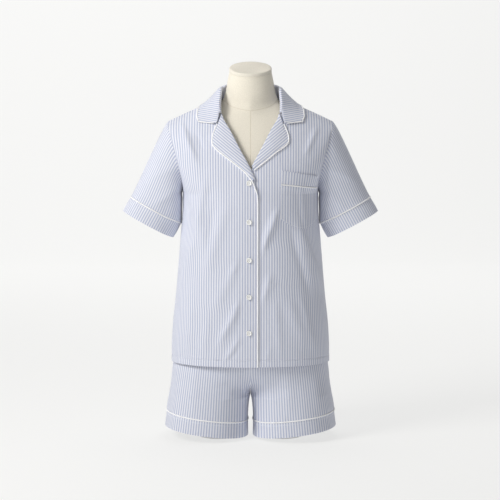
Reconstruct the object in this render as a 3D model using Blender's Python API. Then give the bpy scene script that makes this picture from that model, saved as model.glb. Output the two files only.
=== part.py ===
"""Short pyjama set on a limbless dress form: metres, +Z up, the front faces -Y.

The wearer's right is -X. Every cloth piece is a closed wall built from a grid of points, and
what lies on a panel is made from that panel's own points moved out.
"""

import math

import bmesh
import bpy
import numpy as np
from mathutils import Vector

# Welding distance, and the angle from which an edge is drawn sharp.
MERGE = 0.00001
SHARP_ANGLE = math.radians(40)

# Gap at seams, one layer of cloth, doubled cloth, and the radius of the white cord.
SEAM = 0.0003
HALF_SEAM = SEAM / 2
CLOTH = 0.0016
BAND = 0.0020
PIPE = 0.0014
PIPE_SIDES = 5
# How far a ring of cord lies inside the cloth's face, and the steps of a rolled edge.
CORD_INSET = 0.0004
ROLL_TURNS = (0.0, 0.25, 0.5, 0.75)
# Superellipse power of the top's and the shorts' sections.
POWER = 2.3

HEM_Z = 0.1865
ARMPIT_Z = 0.5950
SHOULDER_Z = 0.8256
SHOULDER_END_Z = 0.7650
CHEST_Z = 0.6080
# Each front runs this far past the middle, and the right one lies over the left.
LAP = 0.0155
LAP_LIFT = 0.0013
LAP_FADE = 0.0450
NECK_X = 0.0700
NAPE_Y = 0.0660
# Powers of the curves from the chest and from the back up to the shoulder seam.
CHEST_ARCH = 1.7
BACK_ARCH = 2.4
# The shoulder falls from this x outwards.
SLOPE_X = 0.0450
SLOPE_POWER = 1.2
# Sets the middle of the box round the whole part over the origin.
MIDDLE_Y = 0.0066

# Materials: red, green, blue, roughness.
MATERIALS = {
    "striped_cotton": (0.80, 0.82, 0.88, 0.85),
    "white_piping": (0.93, 0.93, 0.94, 0.60),
    "button": (0.92, 0.92, 0.91, 0.30),
    "form_linen": (0.86, 0.81, 0.70, 0.90),
    "form_cap": (0.82, 0.78, 0.69, 0.90),
    "display_block": (0.93, 0.93, 0.92, 0.70),
}

# Sections of the top's body: height, half width, front depth, back depth.
BODY_ROWS = (
    (0.1865, 0.1912, 0.1290, 0.1255),
    (0.2300, 0.1908, 0.1285, 0.1235),
    (0.2800, 0.1878, 0.1275, 0.1175),
    (0.3400, 0.1812, 0.1262, 0.1075),
    (0.4200, 0.1742, 0.1258, 0.0985),
    (0.4900, 0.1685, 0.1290, 0.0985),
    (0.5450, 0.1640, 0.1322, 0.1010),
    (0.5950, 0.1630, 0.1335, 0.1040),
)

# The armhole from underarm to shoulder: fraction, half width, front depth, back depth, height.
ARMHOLE_ROWS = (
    (0.00, 0.1630, 0.0000, 0.0000, 0.5950),
    (0.12, 0.1618, 0.0290, 0.0280, 0.6090),
    (0.35, 0.1680, 0.0590, 0.0560, 0.6450),
    (0.60, 0.1785, 0.0680, 0.0620, 0.6900),
    (0.80, 0.1895, 0.0570, 0.0520, 0.7290),
    (0.93, 0.1958, 0.0320, 0.0310, 0.7555),
    (1.00, 0.1955, 0.0000, 0.0000, 0.7650),
)
ARMHOLE_CENTRE = (0.1790, 0.0, 0.6800)
ARMHOLE_DEEP = 0.0700

# Inner edge of a front above the underarm: height, distance past the centre line.
ROLL_ROWS = (
    (0.5950, -0.0150),
    (0.6120, -0.0120),
    (0.6350, -0.0060),
    (0.6532, 0.0023),
    (0.7017, 0.0287),
    (0.7461, 0.0515),
    (0.7817, 0.0686),
    (0.7960, 0.0700),
    (0.8150, 0.0706),
    (0.8300, 0.0706),
)

# Large folds on the fronts: side, start x, start z, end x, end z, height, width.
FRONT_FOLDS = (
    (-1, 0.160, 0.735, 0.128, 0.665, 0.0040, 0.012),
    (-1, 0.130, 0.620, 0.105, 0.440, 0.0045, 0.016),
    (-1, 0.060, 0.560, 0.100, 0.420, 0.0025, 0.014),
    (-1, 0.015, 0.340, 0.075, 0.245, 0.0040, 0.012),
    (-1, 0.030, 0.430, 0.085, 0.330, 0.0025, 0.013),
    (1, 0.110, 0.500, 0.150, 0.380, 0.0050, 0.015),
    (1, 0.060, 0.540, 0.020, 0.465, 0.0035, 0.012),
    (1, 0.050, 0.390, 0.020, 0.335, 0.0030, 0.012),
    (1, 0.090, 0.340, 0.130, 0.240, 0.0030, 0.016),
)

# Large folds on the back: centre x, top z, foot x, foot z, height, width.
BACK_FOLDS = (
    (-0.085, 0.620, -0.100, 0.330, 0.0045, 0.018),
    (0.070, 0.640, 0.105, 0.300, 0.0045, 0.017),
    (-0.020, 0.470, -0.045, 0.215, 0.0035, 0.016),
    (0.030, 0.420, 0.040, 0.210, 0.0030, 0.015),
)

# Each lapel from its foot to the notch: fraction, roll x, roll z, edge x, edge z.
LAPEL_RIGHT = (
    (0.00, -0.0076, 0.6285, -0.0056, 0.6278),
    (0.08, -0.0050, 0.6370, 0.0010, 0.6355),
    (0.17, 0.0000, 0.6485, 0.0095, 0.6450),
    (0.30, 0.0050, 0.6580, 0.0200, 0.6550),
    (0.50, 0.0185, 0.6830, 0.0500, 0.6780),
    (0.63, 0.0330, 0.7100, 0.0770, 0.6988),
    (0.71, 0.0395, 0.7225, 0.0862, 0.7083),
    (0.78, 0.0440, 0.7315, 0.0882, 0.7175),
    (0.88, 0.0530, 0.7490, 0.0850, 0.7349),
    (1.00, 0.0680, 0.7792, 0.0763, 0.7560),
)
LAPEL_LEFT = (
    (0.00, 0.0052, 0.6592, 0.0066, 0.6526),
    (0.08, 0.0085, 0.6650, 0.0172, 0.6608),
    (0.16, 0.0128, 0.6725, 0.0288, 0.6695),
    (0.34, 0.0240, 0.6930, 0.0585, 0.6935),
    (0.52, 0.0340, 0.7120, 0.0805, 0.7085),
    (0.62, 0.0395, 0.7225, 0.0860, 0.7150),
    (0.72, 0.0440, 0.7315, 0.0870, 0.7240),
    (0.84, 0.0530, 0.7490, 0.0848, 0.7355),
    (1.00, 0.0680, 0.7792, 0.0760, 0.7560),
)

# The cord runs straight from the hem to this height, a little under the cloth's face.
STRAIGHT_TOP = 0.5800
STRAIGHT_SINK = 0.0003
# The cord between the straight edge and the lapel: x, z, distance out, extra distance aside.
BREAK_ROWS = (
    (-0.0155, 0.5880, 0.0008, 0.0017),
    (-0.0155, 0.5960, 0.0023, 0.0006),
    (-0.0130, 0.6025, 0.0027, 0.0),
    (-0.0106, 0.6090, 0.0027, 0.0),
    (-0.0084, 0.6155, 0.0027, 0.0),
    (-0.0064, 0.6215, 0.0027, 0.0),
)

# Collar from centre back to the gorge. Seam x and height, edge x and height. The face is
# -1 on the front, 0 on the shoulder seam and 1 on the back.
COLLAR_ROWS = (
    # share, seam_x, seam_z, seam_face, edge_x, edge_z, edge_face, stand
    (0.00, 0.0000, 0.0000, 0, 0.0000, 0.7800, 1, 0.0290),
    (0.14, 0.0260, 0.0000, 0, 0.0420, 0.7790, 1, 0.0290),
    (0.28, 0.0480, 0.0000, 0, 0.0800, 0.7800, 1, 0.0285),
    (0.40, 0.0640, 0.0000, 0, 0.1080, 0.7870, 1, 0.0280),
    (0.52, 0.0706, 0.0000, 0, 0.1190, 0.0000, 0, 0.0270),
    (0.66, 0.0706, 0.8080, -1, 0.1225, 0.7905, -1, 0.0240),
    (0.82, 0.0702, 0.7950, -1, 0.1236, 0.7840, -1, 0.0170),
    (0.93, 0.0696, 0.7858, -1, 0.1244, 0.7738, -1, 0.0090),
    (1.00, 0.0690, 0.7818, -1, 0.1208, 0.7632, -1, 0.0062),
)
NOTCH_X = 0.0779
NOTCH_Z = 0.7582
COLLAR_FOOT = 0.0007
COLLAR_LIFT = 0.0030
COLLAR_CORD_STEP = SEAM + PIPE + 0.0003
CORNER_REACH = 1.3
# The stand leans in, and at the gorge the fold turns out along this direction.
STAND_LEAN = 0.10
GORGE_OUT = (0.93, -0.20, -0.30)
# The blunt end begins at this share of the collar; the notch is this far down the fall.
END_SHARE = 0.90
NOTCH_FALL = 0.3
# Radius of the fold from stand to fall at the back and at the gorge, and of a lapel's roll.
COLLAR_ROLL = 0.0030
GORGE_ROLL = 0.0020
LAPEL_ROLL = 0.0017
LAPEL_LIFT = 0.0026
LAPEL_FALL = 0.0004
LAPEL_BELLY = 0.0012
# Height of the middle of a lapel's cord over the front.
LAPEL_CORD_LIFT = 0.0023

# Sleeve opening at the piping: centre, half length across, half depth, tilt from level.
CUFF_CENTRE = (0.2287, -0.004, 0.5530)
CUFF_LONG = 0.0665
CUFF_DEEP = 0.0520
CUFF_TILT = math.radians(28.5)
CUFF_TALL = 0.0365
CUFF_FLARE = 0.0010
CUFF_CORD_STEP = SEAM + PIPE + 0.0003
CUFF_START = 2 * SEAM + 2 * PIPE + 0.0006

# How a sleeve leaves the armhole: share from underarm to shoulder, aside, up, pull.
SLEEVE_LEAN = (
    (0.0, 0.80, -1.00, 0.040),
    (0.5, 0.90, -0.75, 0.060),
    (1.0, 0.92, -0.40, 0.045),
)
SLEEVE_STEPS = (0, 0.06, 0.14, 0.26, 0.42, 0.6, 0.8, 1)

# Shorts above the crotch: height, half width, front depth, back depth.
SHORTS_ROWS = (
    (0.4040, 0.1290, 0.0890, 0.0790),
    (0.3700, 0.1430, 0.0980, 0.0900),
    (0.3200, 0.1610, 0.1070, 0.1020),
    (0.2600, 0.1745, 0.1130, 0.1110),
    (0.2000, 0.1850, 0.1165, 0.1160),
    (0.1700, 0.1895, 0.1170, 0.1170),
    (0.1400, 0.1925, 0.1165, 0.1170),
    (0.1070, 0.1970, 0.1150, 0.1160),
)
# Legs under the crotch, before the slope of the hem: height, inner x, outer x, front, back.
LEG_ROWS = (
    (0.1070, 0.0003, 0.1970, 0.1080, 0.1110),
    (0.0960, 0.0030, 0.1985, 0.1080, 0.1110),
    (0.0800, 0.0050, 0.2010, 0.1080, 0.1110),
    (0.0560, 0.0060, 0.2040, 0.1080, 0.1115),
    (0.0550, 0.0060, 0.2040, 0.1080, 0.1115),
    (0.0164, 0.0055, 0.2080, 0.1090, 0.1130),
)
CROTCH_Z = 0.1070
RISE_Z = 0.2000
RISE_POWER = 2.2
# The leg hems rise outwards, from this height of the leg down.
HEM_SLOPE = 0.1230
HEM_SLOPE_Z = 0.1370
HEM_SLOPE_TALL = 0.0750
LEG_MIDDLE = 0.1050
LEG_HEM_Z = 0.0164
# A leg's section is a little squarer than an ellipse.
LEG_POWER = 0.92

# Dress form: height, half width, front depth, back depth, section power.
FORM_ROWS = (
    (0.2150, 0.1620, 0.0980, 0.1030, 2.30),
    (0.2600, 0.1600, 0.0960, 0.1000, 2.30),
    (0.3400, 0.1400, 0.0890, 0.0860, 2.25),
    (0.4040, 0.1262, 0.0860, 0.0760, 2.20),
    (0.4200, 0.1250, 0.0855, 0.0750, 2.20),
    (0.4340, 0.1255, 0.0860, 0.0755, 2.20),
    (0.5000, 0.1350, 0.0985, 0.0820, 2.20),
    (0.5700, 0.1450, 0.1170, 0.0890, 2.20),
    (0.6200, 0.1495, 0.1215, 0.0930, 2.20),
    (0.6700, 0.1590, 0.1140, 0.0930, 2.20),
    (0.7100, 0.1690, 0.0990, 0.0880, 2.15),
    (0.7400, 0.1740, 0.0830, 0.0800, 2.00),
    (0.7600, 0.1700, 0.0700, 0.0720, 1.80),
    (0.7740, 0.1560, 0.0610, 0.0660, 1.60),
    (0.7865, 0.1300, 0.0560, 0.0600, 1.40),
    (0.7980, 0.0980, 0.0540, 0.0570, 1.35),
    (0.8080, 0.0745, 0.0530, 0.0540, 1.50),
    (0.8160, 0.0665, 0.0530, 0.0530, 1.70),
    (0.8240, 0.0625, 0.0530, 0.0525, 1.85),
    (0.8400, 0.0585, 0.0530, 0.0510, 2.00),
    (0.8600, 0.0550, 0.0525, 0.0500, 2.00),
    (0.8815, 0.0508, 0.0510, 0.0490, 2.00),
)
FORM_TURNS = 28
CAP_TILT = math.tan(math.radians(14.5))
# The neck begins to lean at this height and has its full lean this much higher.
TILT_Z = 0.8450
TILT_TALL = 0.0365
CAP_TALL = 0.0100
CAP_SHRINK = 0.94
CAP_DOME = 0.0012
BLOCK_X = 0.0780
BLOCK_Y = 0.0040
BLOCK_HALF = (0.0500, 0.0560)
BLOCK_TOP = 0.2147
BLOCK_TURNS = 20
WAIST_Z = (0.4048, 0.4190, 0.4340)
WAIST_GAP = 0.0005

BUTTON_Z = (0.6208, 0.5298, 0.4400, 0.3529, 0.2677)
BUTTON_X = -0.0036
BUTTON_LIFT = 0.0008
BUTTON_TURNS = 12
# Button outline from the back's centre to the face's centre: radius, height.
BUTTON_PROFILE = (
    (0.0000, 0.0000),
    (0.0058, 0.0000),
    (0.0065, 0.0008),
    (0.0062, 0.0024),
    (0.0050, 0.0026),
    (0.0043, 0.0016),
    (0.0000, 0.0015),
)


def spline(rows, at):
    """Smooth values between rows of numbers, the first of each being where it stands."""
    table = np.asarray(rows, float)
    knots = table[:, 0]
    values = table[:, 1:]
    if knots[0] > knots[-1]:
        knots = knots[::-1]
        values = values[::-1]
    at = np.clip(np.asarray(at, float), knots[0], knots[-1])
    slopes = np.gradient(values, knots, axis=0)
    low = np.clip(np.searchsorted(knots, at, side="right") - 1, 0, len(knots) - 2)
    span = knots[low + 1] - knots[low]
    q = ((at - knots[low]) / span)[..., None]
    span = span[..., None]
    first = (1 + 2 * q) * (1 - q) ** 2 * values[low] + q * (1 - q) ** 2 * span * slopes[low]
    last = q * q * (3 - 2 * q) * values[low + 1] + q * q * (q - 1) * span * slopes[low + 1]
    return np.moveaxis(first + last, -1, 0)


def ease(t):
    t = np.clip(t, 0.0, 1.0)
    return t * t * (3 - 2 * t)


def unit(vectors):
    size = np.linalg.norm(vectors, axis=-1, keepdims=True)
    return vectors / np.maximum(size, 1e-12)


def pack(x, y, z):
    return np.stack(np.broadcast_arrays(x, y, z), axis=-1).astype(float)


def grid_normals(grid, ring=False):
    """Unit normals of a grid of points by central differences."""
    if ring:
        across = np.roll(grid, -1, axis=1) - np.roll(grid, 1, axis=1)
    else:
        across = np.gradient(grid, axis=1)
    along = np.gradient(grid, axis=0)
    return unit(np.cross(across, along))


def make_material(name):
    """A plain opaque surface in the named colour."""
    red, green, blue, roughness = MATERIALS[name]
    surface = bpy.data.materials.new(name)
    surface.use_nodes = True
    shader = surface.node_tree.nodes["Principled BSDF"]
    shader.inputs["Base Color"].default_value = (red, green, blue, 1.0)
    shader.inputs["Roughness"].default_value = roughness
    shader.inputs["Metallic"].default_value = 0.0
    return surface


def material_of(name):
    """The material of a piece, made at its first use."""
    if "piping" in name:
        slot = "white_piping"
    elif name.startswith("button"):
        slot = "button"
    elif name.startswith("form_block"):
        slot = "display_block"
    elif name == "form_neck_cap":
        slot = "form_cap"
    elif name == "form_trunk":
        slot = "form_linen"
    else:
        slot = "striped_cotton"
    return bpy.data.materials.get(slot) or make_material(slot)


def place(name, mesh, holder):
    """One object for a mesh, carried by the holder."""
    item = bpy.data.objects.new(name, mesh)
    bpy.context.scene.collection.objects.link(item)
    item.parent = holder
    return item


def finish_mesh(mesh, name):
    mesh.update()
    mesh.shade_smooth()
    mesh.set_sharp_from_angle(angle=SHARP_ANGLE)
    mesh.materials.append(material_of(name))


def signed_volume(points, faces):
    total = 0.0
    for face in faces:
        for k in range(1, len(face) - 1):
            total += np.dot(
                points[face[0]], np.cross(points[face[k]], points[face[k + 1]])
            )
    return total


def solid(name, points, faces):
    """Add a closed body, its faces turned outwards."""
    points = np.asarray(points, float)
    centred = points - points.mean(axis=0)
    if signed_volume(centred, faces) < 0:
        faces = [face[::-1] for face in faces]
    mesh = bpy.data.meshes.new(name)
    mesh.from_pydata([tuple(p) for p in points], [], [tuple(f) for f in faces])
    finish_mesh(mesh, name)
    return place(name, mesh, HOLDER)


def wall(name, outer, inner, ring=False):
    """A closed wall between two grids; a ring joins its last column to its first."""
    rows, cols = outer.shape[:2]
    points = np.concatenate([outer.reshape(-1, 3), inner.reshape(-1, 3)])
    shift = rows * cols
    last = cols if ring else cols - 1
    faces = []
    for i in range(rows - 1):
        for j in range(last):
            k = (j + 1) % cols
            here, next_to = i * cols + j, i * cols + k
            over, beside = (i + 1) * cols + k, (i + 1) * cols + j
            for corner in ((here, next_to, over), (here, over, beside)):
                faces.append(corner)
                faces.append(tuple(shift + n for n in corner[::-1]))
    for j in range(last):
        k = (j + 1) % cols
        faces.append((k, j, shift + j, shift + k))
        top = (rows - 1) * cols
        faces.append((top + j, top + k, shift + top + k, shift + top + j))
    if not ring:
        for i in range(rows - 1):
            a = i * cols
            b = (i + 1) * cols
            faces.append((a, b, shift + b, shift + a))
            a += cols - 1
            b += cols - 1
            faces.append((b, a, shift + a, shift + b))
    return solid(name, points, faces)


def tube(name, path, ring=False, up=(0.0, -1.0, 0.0)):
    """A round cord along a path, closed on itself or with flat ends."""
    path = np.asarray(path, float)
    count = len(path)
    sides = PIPE_SIDES
    if ring:
        ahead = unit(np.roll(path, -1, axis=0) - np.roll(path, 1, axis=0))
    else:
        ahead = unit(np.gradient(path, axis=0))
    up = np.broadcast_to(np.asarray(up, float), path.shape)
    side = unit(np.cross(ahead, up))
    top = np.cross(side, ahead)
    angles = np.arange(sides) * 2 * math.pi / sides
    points = []
    for k in range(count):
        for angle in angles:
            spoke = math.cos(angle) * side[k] + math.sin(angle) * top[k]
            points.append(path[k] + PIPE * spoke)
    faces = []
    for k in range(count if ring else count - 1):
        m = (k + 1) % count
        for a in range(sides):
            b = (a + 1) % sides
            faces.append((k * sides + a, k * sides + b, m * sides + b, m * sides + a))
    if not ring:
        faces.append(tuple(reversed(range(sides))))
        faces.append(tuple((count - 1) * sides + a for a in range(sides)))
    return solid(name, points, faces)


def fold_height(table, side, x, z):
    """Height of the folds at a point of a front, or of the back where side is None."""
    total = np.zeros(np.broadcast(x, z).shape)
    for row in table:
        if side is None:
            x0, z0, x1, z1, height, width = row
        else:
            if row[0] != side:
                continue
            x0, z0, x1, z1, height, width = row[1:]
        dx = x1 - x0
        dz = z1 - z0
        long = math.hypot(dx, dz)
        share = ((x - x0) * dx + (z - z0) * dz) / long**2
        off = ((x - x0) * dz - (z - z0) * dx) / long
        taper = ease((share + 0.25) / 0.5) * ease((1.25 - share) / 0.5)
        total = total + height * taper * np.exp(-((off / width) ** 2))
    return total


def level_of(level, face):
    """Half width, side depth, middle depth, middle height and side height of a row."""
    level = np.asarray(level, float)
    z = HEM_Z + (ARMPIT_Z - HEM_Z) * (level + 1)
    width, front, back = spline(BODY_ROWS, np.minimum(z, ARMPIT_Z))
    hole_x, hole_front, hole_back, hole_z = spline(ARMHOLE_ROWS, np.maximum(level, 0))
    climb = (hole_z - ARMPIT_Z) / (SHOULDER_END_Z - ARMPIT_Z)
    middle_z = ARMPIT_Z + (SHOULDER_Z - ARMPIT_Z) * climb
    high = np.clip((middle_z - CHEST_Z) / (SHOULDER_Z - CHEST_Z), 0, 1)
    power = CHEST_ARCH if face < 0 else BACK_ARCH
    arch = (1 - high**power) ** (1 / power)
    upper = level > 0
    half = np.where(upper, hole_x, width)
    side = np.where(upper, hole_front if face < 0 else hole_back, 0.0)
    deep = front if face < 0 else back
    low_z = np.minimum(z, ARMPIT_Z)
    middle_z = np.where(upper, middle_z, low_z)
    side_z = np.where(upper, hole_z, low_z)
    return half, side, deep, arch, middle_z, side_z


def shoulder_fall(x, half):
    """How far, 0 to 1, the shoulder has fallen at x."""
    return np.clip((np.abs(x) - SLOPE_X) / (half - SLOPE_X), 0, 1) ** SLOPE_POWER


def plain_point(face, angle, level):
    """The top's body without folds, in the half where x is positive."""
    half, side, deep, arch, middle_z, side_z = level_of(level, face)
    s = np.sin(angle)
    c = np.abs(np.cos(angle))
    x = half * np.sign(s) * np.abs(s) ** (2 / POWER)
    if face < 0:
        middle = deep * arch
    else:
        nape = NAPE_Y * np.sqrt(np.clip(1 - (x / NECK_X) ** 2, 0, 1))
        middle = nape * (1 - arch) + deep * arch
    y = face * (side + (middle - side) * c ** (2 / POWER))
    return pack(x, y, middle_z + (side_z - middle_z) * shoulder_fall(x, half))


def body_point(side, face, angle, level, out=0.0):
    """A point of the top's outer surface. The side is -1 for the wearer's right."""
    angle = np.asarray(angle, float)
    level = np.asarray(level, float)
    base = plain_point(face, angle, level)
    da = 0.02
    dl = 0.012
    along = plain_point(face, angle, np.minimum(level + dl, 1.0)) - plain_point(
        face, angle, np.maximum(level - dl, -1.0)
    )
    across = plain_point(face, angle + da, level) - plain_point(face, angle - da, level)
    normal = unit(np.cross(across, along)) * (1 if face < 0 else -1)
    lift = np.asarray(out, float)
    if face < 0:
        lap = LAP_LIFT * (1 - ease((base[..., 0] - LAP - 0.001) / LAP_FADE))
        fade = 1 - ease((level - 0.75) / 0.25)
        rise = fold_height(FRONT_FOLDS, side, base[..., 0], base[..., 2])
        edge = ease((math.pi / 2 - angle) / 0.35) * ease((base[..., 0] - LAP - 0.004) / 0.02)
        lift = lift - side * lap * fade + rise * edge
    else:
        rise = fold_height(BACK_FOLDS, None, side * base[..., 0], base[..., 2])
        edge = ease((math.pi / 2 - np.abs(angle)) / 0.35)
        lift = lift + rise * edge * (1 - ease((level - 0.6) / 0.4))
    found = base + normal * lift[..., None]
    found[..., 0] *= side
    normal[..., 0] *= side
    return found, normal


def locate(face, x, z):
    """Angle and level of the point of the body at x and z, x being positive outwards."""
    x, z = np.broadcast_arrays(np.asarray(x, float), np.asarray(z, float))
    low = np.full(x.shape, -1.0)
    high = np.full(x.shape, 1.0)
    for _ in range(40):
        middle = (low + high) / 2
        half, _, _, _, middle_z, side_z = level_of(middle, face)
        above = middle_z + (side_z - middle_z) * shoulder_fall(x, half) > z
        high = np.where(above, middle, high)
        low = np.where(above, low, middle)
    level = (low + high) / 2
    half = level_of(level, face)[0]
    share = np.clip(np.abs(x) / half, 0, 1)
    return np.sign(x) * np.arcsin(share ** (POWER / 2)), level


LOWER = np.linspace(-1, 0, 10, endpoint=False)
UPPER = np.array((0, 0.05, 0.11, 0.19, 0.29, 0.4, 0.52, 0.64, 0.75, 0.85, 0.92, 0.97, 1.0))
LEVELS = np.concatenate([LOWER, UPPER])


def start_angles(levels):
    """Where a front begins in each row: at the lap edge, then along the roll line."""
    half, _, _, _, middle_z, _ = level_of(levels, -1)
    edge = np.where(levels < 0, -LAP, spline(ROLL_ROWS, middle_z)[0])
    return np.sign(edge) * np.arcsin((np.abs(edge) / half) ** (POWER / 2))


def rim_directions(levels, side):
    """Shared directions of the walls' rims at the side seam and round the armhole."""
    hole_x, hole_front, _, hole_z = spline(ARMHOLE_ROWS, np.maximum(levels, 0))
    rims = pack(ARMHOLE_CENTRE[0] - hole_x, hole_front, ARMHOLE_CENTRE[2] - hole_z)
    rims = unit(rims)
    rims[levels < 0] = (-1.0, 0.0, 0.0)
    rims[:, 0] *= side
    return rims


FRONT_COLS = 13


def front_grid(side):
    first = start_angles(LEVELS)
    share = np.linspace(0, 1, FRONT_COLS)
    angle = first[:, None] + (math.pi / 2 - first[:, None]) * share[None, :]
    return body_point(side, -1, angle, LEVELS[:, None])


def on_panel(side, share, level, out=0.0):
    """Point and normal of a front's flat faces, moved out."""
    grid, normals = front_grid(side)
    column = np.clip(share, 0, 1) * (FRONT_COLS - 1)
    row = np.interp(level, LEVELS, np.arange(len(LEVELS)))
    c = np.clip(np.floor(column).astype(int), 0, FRONT_COLS - 2)
    r = np.clip(np.floor(row).astype(int), 0, len(LEVELS) - 2)
    fc = (column - c)[..., None]
    fr = (row - r)[..., None]
    mixed = []
    for field in (grid, normals):
        low = field[r, c] * (1 - fc) + field[r, c + 1] * fc
        high = field[r + 1, c] * (1 - fc) + field[r + 1, c + 1] * fc
        mixed.append(low * (1 - fr) + high * fr)
    normal = unit(mixed[1])
    return mixed[0] + normal * np.asarray(out, float)[..., None], normal


def on_front(side, x, z, out=0.0):
    angle, level = locate(-1, x, z)
    first = start_angles(level)
    share = (angle - first) / (math.pi / 2 - first)
    return on_panel(side, share, level, out)


def front(name, side):
    outer, normal = front_grid(side)
    outer[LEVELS <= 0, -1, 1] = -HALF_SEAM
    inward = -normal
    inward[:, -1] = rim_directions(LEVELS, side)
    outer[-1, :, 1] = -HALF_SEAM
    inward[-1, :-1] = (0.0, 0.0, -1.0)
    return wall(name, outer, outer + CLOTH * inward)


def back_panel(name, cols=21):
    angle = np.linspace(-math.pi / 2, math.pi / 2, cols)[None, :] * np.ones((len(LEVELS), 1))
    here, normal = body_point(1, 1, angle, LEVELS[:, None])
    inward = -normal
    rims = rim_directions(LEVELS, 1)
    hole_back = spline(ARMHOLE_ROWS, np.maximum(LEVELS, 0))[2]
    for column, sign in ((0, -1), (-1, 1)):
        here[LEVELS <= 0, column, 1] = HALF_SEAM
        turned = rims.copy()
        turned[:, 0] *= sign
        turned[:, 1] = -hole_back / ARMHOLE_DEEP
        turned = unit(turned)
        turned[LEVELS < 0] = (-sign, 0.0, 0.0)
        inward[:, column] = turned
    here[-1, :, 1] = np.maximum(here[-1, :, 1], HALF_SEAM)
    inward[-1, 1:-1] = (0.0, 0.0, -1.0)
    return wall(name, here, here + CLOTH * inward)


def armhole_loop(side):
    """Armhole points and rim directions, from the underarm by the front and back down."""
    hole_x, hole_front, hole_back, hole_z = spline(ARMHOLE_ROWS, UPPER)
    ahead = pack(hole_x, -hole_front, hole_z)
    behind = pack(hole_x, hole_back, hole_z)
    loop = np.concatenate([ahead, behind[-2:0:-1]])
    rims = unit(np.array(ARMHOLE_CENTRE) - loop)
    share = np.concatenate([UPPER, UPPER[-2:0:-1]])
    back = np.concatenate([np.zeros(len(UPPER)), np.ones(len(UPPER) - 2)])
    loop[:, 0] *= side
    rims[:, 0] *= side
    return loop, rims, share, back


def cuff_ring(side, share, back, along=0.0, inset=0.0):
    """Points of the sleeve opening, moved along the sleeve's axis."""
    turn = share * math.pi
    long = CUFF_LONG - inset
    deep = CUFF_DEEP - inset
    reach = -np.cos(turn) * long
    depth = np.sin(turn) ** 0.9 * deep * np.where(back > 0, 1.0, -1.0)
    x = CUFF_CENTRE[0] + reach * math.cos(CUFF_TILT) + along * math.sin(CUFF_TILT)
    z = CUFF_CENTRE[2] + reach * math.sin(CUFF_TILT) - along * math.cos(CUFF_TILT)
    return pack(side * x, CUFF_CENTRE[1] + depth, z)


def sleeve_rings(side, steps):
    loop, rims, share, back = armhole_loop(side)
    start = loop.copy()
    start[:, 0] += side * SEAM * (1 + 1.5 * (1 - share) ** 6)
    finish = cuff_ring(side, share, back)
    aside, up, pull = spline(SLEEVE_LEAN, share)
    away = unit(pack(aside * side, 0.0, up)) * pull[:, None]
    axis = np.array([side * math.sin(CUFF_TILT), 0.0, -math.cos(CUFF_TILT)])
    reach = np.linalg.norm(finish - start, axis=-1)[:, None]
    bend = 0.20 + 0.65 * ease(share / 0.6)[:, None]
    t = np.asarray(steps, float)[:, None, None]
    grid = (
        (1 + 2 * t) * (1 - t) ** 2 * start
        + t * (1 - t) ** 2 * away
        + t * t * (3 - 2 * t) * finish
        + t * t * (t - 1) * axis * reach * bend
    )
    return grid, rims


def sleeve(name, side):
    grid, rims = sleeve_rings(side, SLEEVE_STEPS)
    inward = -grid_normals(grid, ring=True)
    middle = grid.mean(axis=1, keepdims=True)
    turned = np.sign(np.sum(inward[3:] * (middle - grid)[3:])) or 1.0
    inward = inward * turned
    inward[0] = rims
    return wall(name, grid, grid + CLOTH * inward, ring=True)


def cuff(name, side):
    _, _, share, back = armhole_loop(side)
    outer = []
    inner = []
    for t in (0, 0.5, 1):
        along = CUFF_START + CUFF_TALL * t
        outer.append(cuff_ring(side, share, back, along, -CUFF_FLARE * t))
        inner.append(cuff_ring(side, share, back, along, BAND - CUFF_FLARE * t))
    return wall(name, np.array(outer), np.array(inner), ring=True)


def cuff_piping(name, side):
    _, _, share, back = armhole_loop(side)
    path = cuff_ring(side, share, back, CUFF_CORD_STEP, CORD_INSET)
    axis = (side * math.sin(CUFF_TILT), 0.0, -math.cos(CUFF_TILT))
    return tube(name, path, ring=True, up=axis)


def lapel_grid(side, table, steps, shares):
    """Middle surface of a lapel: round the roll first, then out to the edge."""
    roll_x, roll_z, edge_x, edge_z = spline(table, np.asarray(steps, float))
    level = locate(-1, roll_x, roll_z)[1]
    root, normal = on_panel(side, np.zeros(level.shape), level)
    near_x = roll_x + (edge_x - roll_x) * 0.2
    near_z = roll_z + (edge_z - roll_z) * 0.2
    near = on_front(side, near_x, near_z)[0]
    toward = near - root
    run = unit(np.gradient(root, axis=0))
    for away in (normal, run, normal):
        toward = toward - np.sum(toward * away, axis=-1, keepdims=True) * away
    toward = unit(toward)
    columns = []
    for turn in ROLL_TURNS:
        a = turn * math.pi
        aside = 2 * SEAM + LAPEL_ROLL * math.sin(a)
        rise = LAPEL_ROLL * (1 - math.cos(a)) - CLOTH / 2
        columns.append(root - toward * aside + normal * rise)
    for share in shares:
        x = roll_x + (edge_x - roll_x) * share
        z = roll_z + (edge_z - roll_z) * share
        lift = LAPEL_LIFT - LAPEL_FALL * share + LAPEL_BELLY * math.sin(math.pi * share)
        columns.append(on_front(side, x, z, lift)[0])
    return np.stack(columns, axis=1)


def thick(name, middle, width, ring=False):
    """A wall with the given middle surface."""
    normal = grid_normals(middle, ring)
    return wall(name, middle + normal * width / 2, middle - normal * width / 2, ring)


SHARES = (0.02, 0.25, 0.5, 0.75, 1.0)
END_ROOM = 0.004


def lapel_steps(table):
    """Shares of a lapel at the rows of its front, with both ends."""
    roll_z = np.array([row[2] for row in table])
    middle_z = level_of(LEVELS, -1)[4]
    between = (middle_z > roll_z[0] + END_ROOM) & (middle_z < roll_z[-1] - END_ROOM)
    inside = middle_z[between]
    steps = np.interp(inside, roll_z, [row[0] for row in table])
    extra = [t for t in np.linspace(0, 1, 15) if np.abs(steps - t).min() > 0.02]
    return np.sort(np.concatenate([steps, extra]))


def lapel(name, side, table):
    middle = lapel_grid(side, table, lapel_steps(table), SHARES)
    return thick(name, middle, CLOTH)


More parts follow.
